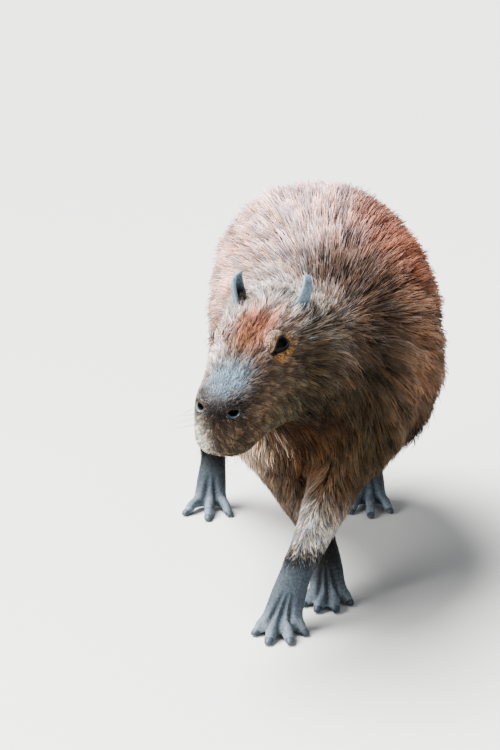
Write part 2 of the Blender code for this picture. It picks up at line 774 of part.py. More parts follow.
def ear_half_width(t):
    """The ear's half width from its root at 0 to its rounded tip at 1."""
    middle = 0.45
    reach = 0.60 if t < middle else 0.552
    return EAR_HALF_WIDTH * (1 - (abs(t - middle) / reach) ** 2.5) ** 0.4


def ear_solid(side, steps_up=7, steps_across=8):
    """An ear: a cupped leaf with a wall, held round so that its back faces the side."""
    frame = side_frame(side)
    base, up, opens = Vector(EAR_AT), Vector(EAR_UP).normalized(), Vector(EAR_OPENS)
    opens = (opens - up * up.dot(opens)).normalized()
    across = up.cross(opens)
    inner, outer = [], []
    for i in range(steps_up + 1):
        t = i / steps_up
        half_turn = math.radians(80 - 34 * t)
        wide = ear_half_width(t)
        radius = wide / math.sin(half_turn)
        spine = base + up * EAR_HEIGHT * (1.16 * t - 0.16) + opens * (0.40 * wide + 0.13 * EAR_HEIGHT * t * t)
        for j in range(steps_across + 1):
            u = 2 * j / steps_across - 1
            a = half_turn * u
            away = across * math.sin(a) - opens * math.cos(a)
            wall = EAR_WALL * (1 - 0.45 * t) * (1 - 0.3 * abs(u))
            outer.append(frame @ (spine + away * (radius + wall / 2)))
            inner.append(frame @ (spine + away * (radius - wall / 2)))
    row, half = steps_across + 1, len(outer)
    faces = []
    for i in range(steps_up):
        for j in range(steps_across):
            a = i * row + j
            faces.append((a, a + 1, a + row + 1, a + row))
            faces.append((half + a, half + a + row, half + a + row + 1, half + a + 1))
    rim = list(range(row))
    rim += [i * row + row - 1 for i in range(1, steps_up + 1)]
    rim += [steps_up * row + j for j in range(row - 2, -1, -1)]
    rim += [i * row for i in range(steps_up - 1, 0, -1)]
    faces += [(b, a, half + a, half + b) for a, b in zip(rim, rim[1:] + rim[:1])]
    return np.array(outer + inner), faces


def add_ears(head):
    """The ears, with their roots on the head and a thin cut between."""
    ears = {}
    for word, side in (("right", -1), ("left", 1)):
        frame = side_frame(side)
        up = (frame.to_3x3() @ Vector(EAR_UP)).normalized()
        at = frame @ Vector(EAR_AT) + up * EAR_CUT_HEIGHT
        cut = frame_along(at, up, (0, 1, 0))
        ear = mesh_object(f"ear_{word}", *ear_solid(side))
        root = copy_of(ear, "root")
        above = box_between("above", cut, (-0.05, -0.05, 0), (0.05, 0.05, 0.1))
        combine(ear, above, "INTERSECT")
        below = box_between("below", cut, (-0.05, -0.05, -0.1), (0.05, 0.05, -GAP))
        combine(root, below, "INTERSECT")
        combine(head, root, "UNION", "MANIFOLD")
        room = box_between("room", cut, (-0.024, -0.024, -GAP), (0.024, 0.024, 0.05))
        combine(head, room, "DIFFERENCE", "MANIFOLD")
        for helper in (above, below, root, room):
            remove(helper)
        keep_largest(ear)
        ears[f"ear_{word}"] = ear
    keep_largest(head)
    return ears


def flatten_soles(pieces):
    """Cuts the feet off level at the floor, which leaves small flats under the toes and the foot."""
    floor = box_between("floor", Matrix.Identity(4), (-1, -1, -0.1), (1, 1, 0))
    for name, piece in pieces.items():
        if min(v.co.z for v in piece.data.vertices) < 0:
            combine(piece, floor, "DIFFERENCE")
            keep_largest(piece)
    remove(floor)


def material(name, color, roughness):
    made = bpy.data.materials.new(name)
    made.use_nodes = True
    shader = made.node_tree.nodes["Principled BSDF"]
    shader.inputs["Base Color"].default_value = (*color, 1)
    shader.inputs["Roughness"].default_value = roughness
    shader.inputs["Metallic"].default_value = 0
    return made


def dress(pieces):
    """Each node's own material, with the colours seen."""
    looks = (
        ("claw", (0.060, 0.055, 0.055), 0.45),
        ("eye", (0.012, 0.010, 0.010), 0.08),
        ("ear", (0.130, 0.145, 0.165), 0.70),
        ("foot", (0.115, 0.120, 0.135), 0.65),
        ("leg", (0.230, 0.190, 0.150), 0.85),
        ("head", (0.270, 0.200, 0.140), 0.85),
        ("neck", (0.280, 0.190, 0.120), 0.90),
        ("torso", (0.300, 0.190, 0.130), 0.90),
    )
    for name, piece in pieces.items():
        color, roughness = next((c, r) for word, c, r in looks if word in name)
        piece.data.materials.clear()
        piece.data.materials.append(material(name, color, roughness))
        piece.data.shade_smooth()
        piece.data.set_sharp_from_angle(angle=math.radians(40))


def place(pieces):
    """Moves every node so that the origin is on the floor under the middle of the animal's box."""
    shift = Matrix.Translation((-MIDDLE[0], -MIDDLE[1], 0))
    for piece in pieces.values():
        piece.data.transform(shift)


def clear_scene():
    for obj in list(bpy.data.objects):
        bpy.data.objects.remove(obj)


def main():
    clear_scene()
    torso = body_surface(VOXEL, core_coat)
    points, normals = coordinates(torso.data), normals_of(torso.data)
    fewer_triangles(torso, WHOLE_TRIANGLES)
    pieces = part_feet(torso)
    add_locks(torso, points, normals)
    pieces.update(part_legs(torso))
    pieces.update(part_head_and_neck(torso))
    torso.name = "torso"
    keep_largest(torso)
    pieces["torso"] = torso
    pieces.update(add_ears(pieces["head"]))
    open_eyes(pieces["head"])
    open_nostrils(pieces["head"])
    cut_mouth(pieces["head"])
    keep_largest(pieces["head"])
    pieces.update(make_eyes())
    flatten_soles(pieces)
    place(pieces)
    dress(pieces)


main()
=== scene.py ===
"""The capybara's looks: one skin under a coat of tufts, with its eyes, lids, ears, claws and whiskers.

Metres, +Z up, in the solids' own frame: the animal faces -Y and its left side is at +X.
"""

import math

import bmesh
import bpy
import numpy as np
from mathutils import Matrix, Vector
from mathutils.bvhtree import BVHTree
from mathutils.kdtree import KDTree


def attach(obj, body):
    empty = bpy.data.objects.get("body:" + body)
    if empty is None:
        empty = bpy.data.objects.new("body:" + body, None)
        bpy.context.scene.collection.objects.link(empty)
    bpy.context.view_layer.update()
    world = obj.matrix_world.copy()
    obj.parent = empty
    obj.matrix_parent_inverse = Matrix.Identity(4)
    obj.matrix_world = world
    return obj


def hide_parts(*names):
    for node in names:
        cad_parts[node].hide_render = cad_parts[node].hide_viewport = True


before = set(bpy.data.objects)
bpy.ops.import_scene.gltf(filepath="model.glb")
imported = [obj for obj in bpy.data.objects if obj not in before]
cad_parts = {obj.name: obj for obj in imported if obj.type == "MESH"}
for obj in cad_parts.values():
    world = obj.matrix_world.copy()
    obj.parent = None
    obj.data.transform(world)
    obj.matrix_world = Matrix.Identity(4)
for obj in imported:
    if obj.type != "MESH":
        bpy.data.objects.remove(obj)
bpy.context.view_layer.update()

# Driving sizes of the animal, the same as in the solids
WITHERS_HEIGHT = 0.500
RUMP_HEIGHT = 0.558
BELLY_HEIGHT = 0.184
TRUNK_HALF_WIDTH = 0.163
MUZZLE_HALF_WIDTH = 0.045
CHEEK_HALF_WIDTH = 0.068
EYE_RADIUS = 0.0165
LID_THICKNESS = 0.0036
EAR_HEIGHT = 0.046
EAR_HALF_WIDTH = 0.0165
CLAW_LENGTH = 0.012
TOE_HALF_WIDTH = 0.0098

# The middle of the animal's box in the frame of the numbers below
MIDDLE = (0.0152, 0.0124)

# The head's own frame: x towards the nose, y to its left, z up, from the base of the skull
HEAD_AT = Vector((-0.053, -0.236, 0.443))
HEAD_YAW = math.radians(-20.4)
HEAD_PITCH = math.radians(13.2)
HEAD_ROLL = math.radians(-4.8)
FACING = Matrix(((0, 1, 0), (-1, 0, 0), (0, 0, 1)))

# Head features in the head's frame, for its left side
EYE_AT = (0.1070, 0.0395, 0.0465)
EYE_LOOKS = {1: (0.20, 0.90, 0.40), -1: (-0.24, 0.95, 0.22)}
EYE_SLANT = math.radians(-13)
EAR_AT = {1: (0.0120, 0.0390, 0.0640), -1: (0.0300, 0.0400, 0.0620)}
EAR_UP = (-0.22, 0.20, 1.0)
EAR_OPENS = {1: (0.02, -1.0, -0.05), -1: (0.06, -1.0, -0.05)}
NOSTRIL_AT = (0.2425, 0.0255, 0.0115)
NOSTRIL_LOOKS = (0.80, 0.55, 0.15)
MOUTH = (
    (0.244, 0.000, -0.056),
    (0.240, 0.018, -0.055),
    (0.224, 0.036, -0.056),
    (0.200, 0.043, -0.059),
    (0.178, 0.046, -0.064),
)
PHILTRUM = (
    (0.250, 0.0, 0.000),
    (0.250, 0.0, -0.014),
    (0.249, 0.0, -0.030),
    (0.247, 0.0, -0.044),
    (0.244, 0.0, -0.056),
)

# Trunk sections: y, middle x, top, bottom, half width, coat
TRUNK = (
    (0.452, 0.004, 0.400, 0.330, 0.032, 0.016),
    (0.442, 0.004, 0.438, 0.290, 0.076, 0.020),
    (0.410, 0.009, 0.490, 0.243, 0.118, 0.027),
    (0.350, 0.014, 0.534, 0.212, 0.144, 0.030),
    (0.270, 0.023, RUMP_HEIGHT, 0.195, 0.160, 0.030),
    (0.170, 0.035, 0.556, 0.187, 0.165, 0.029),
    (0.070, 0.043, 0.541, BELLY_HEIGHT, TRUNK_HALF_WIDTH, 0.028),
    (-0.020, 0.041, 0.520, 0.188, 0.153, 0.026),
    (-0.095, 0.028, WITHERS_HEIGHT, 0.199, 0.135, 0.024),
    (-0.155, 0.004, 0.487, 0.214, 0.114, 0.023),
    (-0.200, -0.012, 0.474, 0.245, 0.095, 0.022),
    (-0.225, -0.022, 0.452, 0.290, 0.068, 0.018),
)

# Neck sections along the way into the head: centre, half width, half height, coat
NECK = (
    ((0.004, -0.080, 0.368), 0.126, 0.116, 0.022),
    ((-0.012, -0.150, 0.382), 0.112, 0.107, 0.022),
    ((-0.029, -0.200, 0.401), 0.095, 0.096, 0.020),
    ((-0.046, -0.245, 0.414), 0.084, 0.092, 0.014),
    ((-0.060, -0.285, 0.416), 0.071, 0.083, 0.010),
)

# Head sections in the head's frame: x, top, bottom, half width, squareness, coat
HEAD = (
    (0.2490, -0.004, -0.034, 0.018, 2.4, 0.001),
    (0.2460, 0.014, -0.052, 0.030, 2.7, 0.001),
    (0.2350, 0.026, -0.064, 0.0380, 3.0, 0.002),
    (0.2100, 0.034, -0.072, MUZZLE_HALF_WIDTH - 0.002, 3.0, 0.003),
    (0.1750, 0.041, -0.077, MUZZLE_HALF_WIDTH + 0.001, 2.8, 0.004),
    (0.1380, 0.051, -0.083, 0.053, 2.9, 0.004),
    (0.1020, 0.061, -0.090, 0.060, 3.1, 0.005),
    (0.0650, 0.067, -0.096, 0.066, 2.8, 0.007),
    (0.0300, 0.069, -0.096, CHEEK_HALF_WIDTH, 2.5, 0.010),
    (-0.0050, 0.066, -0.088, 0.067, 2.3, 0.013),
    (-0.0400, 0.057, -0.074, 0.060, 2.1, 0.016),
)

# Limbs, from the trunk down: joint, half width across, half width fore and aft, coat
FRONT_LEFT = (
    ((0.074, -0.080, 0.400), 0.046, 0.075, 0.022),
    ((0.096, -0.118, 0.335), 0.054, 0.076, 0.022),
    ((0.083, -0.150, 0.270), 0.050, 0.060, 0.018),
    ((0.050, -0.164, 0.214), 0.036, 0.043, 0.013),
    ((0.022, -0.198, 0.158), 0.0290, 0.033, 0.008),
    ((-0.002, -0.228, 0.112), 0.0250, 0.026, 0.003),
    ((-0.022, -0.252, 0.074), 0.0250, 0.022, 0.001),
    ((-0.036, -0.276, 0.038), 0.0290, 0.017, 0.0),
    ((-0.044, -0.290, 0.0118), 0.0320, 0.014, 0.0),
)
FRONT_RIGHT = (
    ((-0.058, -0.070, 0.400), 0.046, 0.075, 0.022),
    ((-0.074, -0.095, 0.335), 0.054, 0.076, 0.022),
    ((-0.066, -0.106, 0.270), 0.050, 0.060, 0.018),
    ((-0.045, -0.106, 0.214), 0.036, 0.043, 0.012),
    ((-0.016, -0.119, 0.158), 0.0290, 0.032, 0.007),
    ((0.010, -0.136, 0.112), 0.0245, 0.025, 0.003),
    ((0.026, -0.150, 0.074), 0.0235, 0.021, 0.001),
    ((0.030, -0.166, 0.040), 0.0280, 0.017, 0.0),
    ((0.032, -0.177, 0.0112), 0.0300, 0.014, 0.0),
)
HIND_LEFT = (
    ((0.078, 0.285, 0.420), 0.058, 0.100, 0.024),
    ((0.104, 0.245, 0.340), 0.058, 0.102, 0.022),
    ((0.124, 0.205, 0.272), 0.047, 0.077, 0.018),
    ((0.130, 0.230, 0.213), 0.038, 0.055, 0.014),
    ((0.130, 0.283, 0.158), 0.0280, 0.035, 0.007),
    ((0.128, 0.316, 0.112), 0.0235, 0.026, 0.003),
    ((0.126, 0.302, 0.066), 0.0240, 0.021, 0.001),
    ((0.125, 0.274, 0.031), 0.0290, 0.017, 0.0),
    ((0.125, 0.252, 0.0115), 0.0320, 0.014, 0.0),
)
HIND_RIGHT = (
    ((-0.066, 0.290, 0.420), 0.054, 0.100, 0.024),
    ((-0.084, 0.250, 0.340), 0.054, 0.102, 0.022),
    ((-0.100, 0.200, 0.272), 0.044, 0.077, 0.018),
    ((-0.120, 0.215, 0.218), 0.037, 0.055, 0.014),
    ((-0.142, 0.260, 0.168), 0.0280, 0.035, 0.007),
    ((-0.154, 0.288, 0.124), 0.0235, 0.026, 0.003),
    ((-0.156, 0.274, 0.080), 0.0235, 0.020, 0.001),
    ((-0.159, 0.254, 0.043), 0.0280, 0.017, 0.0),
    ((-0.161, 0.237, 0.0125), 0.0310, 0.014, 0.0),
)
LIMBS = {
    "front_left": FRONT_LEFT,
    "front_right": FRONT_RIGHT,
    "hind_left": HIND_LEFT,
    "hind_right": HIND_RIGHT,
}

# Toes of each foot: the root on the foot, and the tip on the floor, as x, y
TOE_ROOT_HEIGHT = 0.0130
TOE_TIP_HEIGHT = 0.0030
TOES = {
    "front_left": (
        ((-0.064, -0.284), (-0.086, -0.312)),
        ((-0.054, -0.294), (-0.064, -0.346)),
        ((-0.036, -0.296), (-0.030, -0.346)),
        ((-0.024, -0.284), (-0.005, -0.312)),
    ),
    "front_right": (
        ((0.011, -0.178), (-0.010, -0.204)),
        ((0.023, -0.188), (0.012, -0.228)),
        ((0.040, -0.188), (0.042, -0.228)),
        ((0.052, -0.176), (0.068, -0.200)),
    ),
    "hind_left": (
        ((0.103, 0.250), (0.086, 0.200)),
        ((0.124, 0.244), (0.122, 0.180)),
        ((0.146, 0.250), (0.160, 0.204)),
    ),
    "hind_right": (
        ((-0.182, 0.236), (-0.207, 0.196)),
        ((-0.161, 0.230), (-0.164, 0.168)),
        ((-0.140, 0.238), (-0.124, 0.190)),
    ),
}

# Between the lids: half width, then half height above and below
EYE_OPENING = (0.0165, 0.0122, 0.0042)
EAR_WALL = 0.0054
EAR_HOOK = 0.15
NOSTRIL = (0.0050, 0.0078)
LASH_LENGTH = 0.0075
TEAR_AT = (0.0178, -0.0020, 0.0060)
UPPER_LID = 0.0004

# In the head's frame: the nose between the nostrils, and the short hair on top of the snout
NOSE_AT = (0.246, 0.0, 0.008)
SNOUT_AT = (0.212, 0.0, 0.036)

# Forms pressed into the head, mirrored: centre, radii, rise
HEAD_FORMS = (
    ((0.030, 0.044, 0.066), (0.026, 0.022, 0.022), 0.0040),
    ((0.112, 0.036, 0.066), (0.026, 0.014, 0.010), 0.0044),
    ((0.118, 0.050, 0.024), (0.018, 0.012, 0.009), -0.0020),
    ((0.040, 0.064, -0.040), (0.040, 0.024, 0.036), 0.0036),
    ((0.228, 0.042, -0.020), (0.030, 0.018, 0.034), -0.0036),
    ((0.160, 0.050, -0.026), (0.016, 0.016, 0.034), -0.0030),
    ((0.214, 0.000, 0.036), (0.026, 0.018, 0.016), 0.0022),
    ((0.240, 0.026, 0.026), (0.012, 0.010, 0.007), 0.0012),
    ((0.248, 0.000, 0.010), (0.008, 0.006, 0.014), -0.0012),
)

# Whiskers in the head's frame: centre, spread, way, bend, length, count a side
WHISKERS = (
    ((0.214, 0.046, -0.030), (0.020, 0.004, 0.018), (0.10, 0.90, -0.30), (-0.45, 0.0, -0.25), 0.045, 8),
    ((0.226, 0.026, -0.068), (0.014, 0.020, 0.004), (0.25, 0.15, -0.90), (-0.25, 0.0, 0.0), 0.024, 12),
    ((0.120, 0.046, 0.066), (0.006, 0.004, 0.002), (0.10, 0.55, 0.60), (-0.45, 0.1, 0.0), 0.026, 3),
)

# The nail's sections: place along it, half width and half height as shares of the toe's half width
NAIL_STATIONS = (
    (-0.35, 0.44, 0.40),
    (0.00, 0.68, 0.60),
    (0.30, 0.68, 0.56),
    (0.65, 0.60, 0.44),
    (0.92, 0.46, 0.30),
    (1.00, 0.30, 0.18),
)

# The coat: how far apart roots are and how wide tufts are, as a constant and a share of their length
SPACING = (0.00102, 0.0492)
WIDTH = (0.00026, 0.0088)
ROOT_SINK = 0.0012
STRAY_SHARE = 0.03
CLUMP_SIZE = 5
LIFT = (0.50, 1.0)
STEEPEST = 0.58
CLUMP_TINT = 0.74
STREAK_NEAR = 22
STREAK_WIDTH = 0.48
STREAK_ROUNDS = 5
WARMTH = 0.16
LONG_PIECES = ("coat_back", "coat_rump", "coat_flank", "coat_neck")
LONG_STATIONS = (0.0, 0.30, 0.66, 1.0)
LONG_WIDTHS = (0.75, 1.0, 0.74)
SHORT_STATIONS = (0.0, 0.42, 1.0)
SHORT_WIDTHS = (0.85, 0.95)

# Where tufts are longer and rise higher on the head, mirrored: centre, radii, how much longer and higher
LONGER_TUFTS = (
    ((-0.005, 0.000, 0.068), (0.025, 0.012, 0.020), 0.014, 0.002),
    ((0.215, 0.000, -0.070), (0.025, 0.030, 0.010), 0.006, 0.000),
    ((0.070, 0.050, -0.080), (0.070, 0.034, 0.034), 0.025, 0.002),
    ((0.020, 0.060, 0.000), (0.050, 0.030, 0.050), 0.009, 0.001),
    ((0.034, 0.045, 0.066), (0.024, 0.024, 0.024), 0.020, 0.018),
    ((0.100, 0.056, -0.020), (0.070, 0.030, 0.044), 0.005, 0.000),
)
BARE_LEG_SPACING = 2.4

# The bake map: a patch for each tuft, the share of a ring's step along a loft, and a frame for each loft
BAKE_PATCH = 0.003
BAKE_RUN = 40.0
BAKE_FRAMES = (
    ((0.00, 0.00), (1.00, 0.50)),
    ((0.00, 0.50), (0.50, 0.72)),
    ((0.50, 0.50), (1.00, 0.75)),
    ((0.00, 0.75), (0.25, 1.00)),
    ((0.25, 0.75), (0.50, 1.00)),
    ((0.50, 0.75), (0.75, 1.00)),
    ((0.75, 0.75), (1.00, 1.00)),
)

# Colours, as 0 to 255
BASE_COLOR = (118, 98, 80)
# painted shade for the downward-facing underside of the trunk and neck
UNDERSIDE_SHADE_COLOR = (62, 46, 34)
SLATE = (82, 92, 100)
SLATE_DARK = (54, 60, 66)
# the slate of the toes, paler as painted sky sheen on the wet skin
TOE_SLATE_SHEEN = (120, 131, 140)
SLATE_HEIGHTS = (0.092, 0.132)
HAIR_HEIGHTS = (0.082, 0.102)
TOE_HEIGHTS = (0.012, 0.050)
# the upper lid's own pale skin, made paler as painted light from above
UPPER_LID_LIT_COLOR = (196, 168, 142)
OCHRE = (186, 134, 70)
# painted highlight: blue-grey sky sheen on the brow above each eye
BROW_SKY_SHEEN = (152, 164, 190)
RIM_COLOR = (20, 16, 16)
# painted highlight: a light-blue sky sheen on the wet lower rims of the nostrils
NOSTRIL_RIM_SHEEN = (150, 184, 200)
EAR_BACK = (96, 115, 127)
# painted shade in the lower hollow of the ear's cup
EAR_HOLLOW_SHADE = (46, 44, 50)
# painted highlight along the ear's rolled rim
EAR_RIM_HIGHLIGHT = (138, 158, 170)

# Soft spots of colour on the body, and on the head in its own frame: centre, radii, colour, strength.
# Some are painted light and shade: white on the tops and on the lit right side, dark on the shaded flanks, the throat,
# the jaw and under the head.
# "head" spots are mirrored, and "right" ones, painted light, lie on its lit right side alone.
MARKS = (
    # painted highlight: the top of the back whitened where the light from above falls
    ("body", (0.00, 0.16, 0.57), (0.13, 0.34, 0.09), (248, 218, 212), 0.97),
    ("body", (0.11, 0.05, 0.53), (0.05, 0.16, 0.06), (186, 134, 118), 0.88),
    ("body", (0.16, 0.20, 0.46), (0.07, 0.28, 0.08), (166, 104, 78), 0.94),
    # painted light: the upper flank paler on its lit right side
    ("body", (-0.13, 0.20, 0.46), (0.08, 0.28, 0.10), (236, 200, 188), 0.92),
    ("body", (0.11, -0.12, 0.26), (0.05, 0.08, 0.07), (128, 104, 80), 0.88),
    ("body", (0.115, -0.13, 0.42), (0.05, 0.09, 0.05), (150, 124, 106), 0.90),
    ("body", (0.16, 0.02, 0.36), (0.08, 0.16, 0.08), (172, 134, 108), 0.93),
    # painted shade: the left flank, turned from the light, darkened
    ("body", (0.215, 0.20, 0.36), (0.08, 0.22, 0.10), (46, 26, 16), 0.92),
    # painted shade: the low left flank under the belly's curve darkened nearly to black
    ("body", (0.18, 0.08, 0.23), (0.09, 0.26, 0.09), (9, 6, 4), 0.97),
    # painted shade: the low right flank under the belly's curve darkened
    ("body", (-0.16, 0.08, 0.24), (0.09, 0.26, 0.09), (60, 42, 30), 0.90),
    ("body", (0.00, 0.46, 0.35), (0.20, 0.08, 0.20), (130, 90, 68), 0.75),
    # painted highlight: the top of the neck whitened on its lit right side
    ("body", (-0.07, -0.20, 0.47), (0.08, 0.12, 0.05), (240, 230, 226), 0.90),
    ("body", (0.05, -0.13, 0.49), (0.07, 0.09, 0.06), (108, 88, 78), 0.92),
    ("body", (0.06, -0.20, 0.37), (0.05, 0.10, 0.07), (84, 73, 60), 0.88),
    ("body", (0.07, -0.20, 0.30), (0.05, 0.10, 0.06), (84, 72, 55), 0.90),
    ("body", (-0.02, -0.27, 0.26), (0.052, 0.08, 0.07), (86, 55, 31), 0.93),
    # painted shadow: the throat under the head darkened
    ("body", (-0.05, -0.30, 0.305), (0.05, 0.05, 0.035), (58, 42, 26), 0.92),
    # painted light: the chest paler on its lit right side
    ("body", (-0.094, -0.20, 0.25), (0.027, 0.10, 0.09), (236, 212, 188), 0.92),
    # painted highlight: the front of the left forearm whitened where the light falls
    ("body", (0.000, -0.24, 0.146), (0.044, 0.06, 0.030), (244, 238, 232), 0.96),
    ("head", (0.050, 0.060, 0.010), (0.070, 0.030, 0.050), (100, 88, 70), 0.90),
    # painted shade: the jaw darkened where it lies in shadow
    ("head", (0.046, 0.060, -0.064), (0.046, 0.040, 0.032), (40, 31, 20), 0.93),
    ("head", (0.120, 0.050, -0.050), (0.060, 0.030, 0.030), (100, 92, 74), 0.88),
    # painted shade: the underside of the head darkened
    ("head", (0.060, 0.000, -0.100), (0.090, 0.060, 0.020), (60, 40, 24), 0.88),
    # painted highlight: the crown whitened where the light from above falls
    ("head", (0.030, 0.000, 0.080), (0.050, 0.060, 0.026), (252, 244, 238), 0.97),
    # painted light: the forehead whitened on its lit right side
    ("right", (0.115, -0.040, 0.058), (0.075, 0.020, 0.034), (255, 242, 236), 0.97),
    ("head", (0.104, -0.005, 0.066), (0.052, 0.027, 0.022), (188, 124, 98), 0.88),
    ("head", (0.142, 0.006, 0.056), (0.026, 0.018, 0.016), (122, 90, 62), 0.65),
    # painted highlight: pale blue sky sheen on the top of the snout
    ("head", (0.206, 0.000, 0.038), (0.034, 0.024, 0.020), (172, 194, 210), 0.98),
    ("head", (0.236, 0.028, 0.014), (0.016, 0.018, 0.014), (70, 68, 66), 0.92),
    ("head", (0.249, 0.000, 0.004), (0.014, 0.020, 0.014), (32, 29, 28), 0.98),
    ("head", (0.246, 0.000, -0.030), (0.014, 0.008, 0.026), (80, 50, 34), 0.85),
    ("head", (0.232, 0.026, -0.040), (0.020, 0.018, 0.022), (82, 74, 58), 0.85),
    # painted light: the upper lip whitened on its lit right side
    ("right", (0.232, -0.030, -0.045), (0.034, 0.020, 0.040), (240, 238, 226), 0.96),
    ("head", (-0.010, 0.006, 0.075), (0.026, 0.014, 0.024), (110, 92, 84), 0.88),
)
# Painted shade on the lower legs that stand in shadow, laid over the slate: centre, radii
LEG_SHADE = (22, 20, 15)
LEG_SHADES = (
    ((-0.150, 0.26, 0.116), (0.06, 0.08, 0.050)),
    ((0.022, -0.15, 0.088), (0.045, 0.06, 0.060)),
    ((0.125, 0.27, 0.112), (0.05, 0.08, 0.060)),
)

# Where the throat is, whose hair falls towards its left: centre, radii
THROAT = ((-0.02, -0.27, 0.29), (0.08, 0.08, 0.07))

FLOOR_REACH = 60.0
WORLD_LIGHT = 0.40
LIGHTS = (
    ("left", (-2.6, -1.8, 1.5), (0, -0.1, 0.3), 1.6, 105),
    ("fill", (1.6, -2.4, 1.7), (0, 0, 0.3), 2.2, 8),
)
KEY_FROM = (-1.5, 0.8, 3.1)
KEY_STRENGTH = 9.5
KEY_SPREAD = math.radians(40)

SEED = 11
VOXEL = 0.0037
FLOOR_GAP = 0.0004

# The feet: where they are split finer, and the rise over a toe's bone and the groove beside it, each
# as a depth and a reach
FOOT_TOP = 0.062
FOOT_FACES = (0.0, -0.7, 0.7)
TOE_RIDGE = (0.0014, 0.0070)
TOE_GROOVE = (0.0036, 0.0042)
TOE_FADE = (0.026, 0.074)


def head_turn():
    """The matrix that carries the head's frame to the model's."""
    yaw = Matrix.Rotation(HEAD_YAW, 3, "Z")
    pitch = Matrix.Rotation(HEAD_PITCH, 3, "Y")
    roll = Matrix.Rotation(HEAD_ROLL, 3, "X")
    return Matrix.Translation(HEAD_AT) @ (FACING @ yaw @ pitch @ roll).to_4x4()


TO_MODEL = np.array(head_turn())
TO_HEAD = np.array(head_turn().inverted())


def in_head(points):
    """Points of the model in the head's frame."""
    return points @ TO_HEAD[:3, :3].T + TO_HEAD[:3, 3]


def ramp(value, low, high):
    """0 below low, 1 above high, smooth between."""
    t = np.clip((value - low) / (high - low), 0, 1)
    return t * t * (3 - 2 * t)


def unit(vectors):
    return vectors / np.maximum(np.linalg.norm(vectors, axis=-1, keepdims=True), 1e-12)


def blob(points, centre, radii):
    """1 at the centre of an ellipsoid, fading smoothly to 0 outside it."""
    away = ((points - np.array(centre)) / np.array(radii)) ** 2
    return np.exp(-away.sum(1))


def waves(points, size, random, count=6):
    """A smooth random field between about -1 and 1, with features of the size given."""
    total = np.zeros(len(points))
    for _ in range(count):
        way = unit(random.normal(size=3)) * 2 * math.pi / (size * random.uniform(0.7, 1.5))
        total += np.sin(points @ way + random.uniform(0, 2 * math.pi))
    return total / math.sqrt(count)


def smooth_rows(rows, steps):
    """Catmull-Rom rows between the given ones, so that a few stations give a smooth shape."""
    rows = np.array(rows, float)
    before = np.vstack([2 * rows[0] - rows[1], rows[:-2]])
    after = np.vstack([rows[2:], 2 * rows[-1] - rows[-2]])
    found = []
    for p0, p1, p2, p3 in zip(before, rows[:-1], rows[1:], after):
        for t in np.arange(steps) / steps:
            found.append(
                0.5 * (2 * p1 + (p2 - p0) * t + (2 * p0 - 5 * p1 + 4 * p2 - p3) * t * t
                       + (3 * p1 - p0 - 3 * p2 + p3) * t ** 3)
            )
    return np.array(found + [rows[-1]])


def superellipse(width, up, down, power, sides):
    """A closed section as (across, upward) pairs, with its own height above and below the middle."""
    turn = np.linspace(0, 2 * math.pi, sides, endpoint=False)
    c, s = np.cos(turn), np.sin(turn)
    across = width * np.sign(c) * np.abs(c) ** (2 / power)
    upward = np.where(s >= 0, up, down) * np.sign(s) * np.abs(s) ** (2 / power)
    return across, upward


def skin_rings(rings):
    """A closed mesh through rings of points, each end closed by a fan."""
    count, sides = len(rings), len(rings[0])
    points = np.vstack([*rings, rings[0].mean(0)[None], rings[-1].mean(0)[None]])
    first, last = count * sides, count * sides + 1
    faces = []
    for i in range(count - 1):
        for j in range(sides):
            a, b = i * sides + j, i * sides + (j + 1) % sides
            faces.append((a, b, b + sides, a + sides))
    for j in range(sides):
        k = (j + 1) % sides
        faces.append((k, j, first))
        faces.append(((count - 1) * sides + j, (count - 1) * sides + k, last))
    return points, faces


def mesh_object(name, points, faces):
    """A new smooth object from points and faces, with its faces pointing out."""
    mesh = bpy.data.meshes.new(name)
    mesh.from_pydata([tuple(p) for p in points], [], faces)
    obj = bpy.data.objects.new(name, mesh)
    bpy.context.scene.collection.objects.link(obj)
    work = bmesh.new()
    work.from_mesh(mesh)
    bmesh.ops.recalc_face_normals(work, faces=work.faces)
    work.to_mesh(mesh)
    work.free()
    mesh.shade_smooth()
    return obj


class Loft:
    """A loft's rings, with the frame and the coat's depth at each."""

    def __init__(self):
        self.rings, self.centres, self.across, self.upward, self.along, self.coats = [], [], [], [], [], []

    def add(self, ring, centre, across, upward, coat):
        self.rings.append(ring)
        self.centres.append(centre)
        self.across.append(across)
        self.upward.append(upward)
        self.along.append(np.cross(across, upward))
        self.coats.append(coat)


def trunk_loft(steps=5, sides=40):
    loft = Loft()
    for y, x, top, bottom, half, coat in smooth_rows(TRUNK, steps):
        middle = bottom + 0.44 * (top - bottom)
        across, upward = superellipse(half, top - middle, middle - bottom, 2.25, sides)
        ring = np.stack([x + across, np.full(sides, y), middle + upward], 1)
        loft.add(ring, np.array((x, y, middle)), np.array((1.0, 0, 0)), np.array((0, 0, 1.0)), coat)
    return loft


def tube_loft(stations, across_ref, steps=5, sides=24, power=2.2):
    """A loft through joints: centre, half width along across_ref, half width square to it, coat."""
    loft = Loft()
    rows = smooth_rows([[*c, a, b, coat] for c, a, b, coat in stations], steps)
    for i, row in enumerate(rows):
        along = unit(rows[min(i + 1, len(rows) - 1)][:3] - rows[max(i - 1, 0)][:3])
        ref = np.array(across_ref, float)
        u = unit(ref - along * (ref @ along))
        v = np.cross(along, u)
        across, upward = superellipse(row[3], row[4], row[4], power, sides)
        loft.add(row[:3] + across[:, None] * u + upward[:, None] * v, row[:3], u, v, row[5])
    return loft


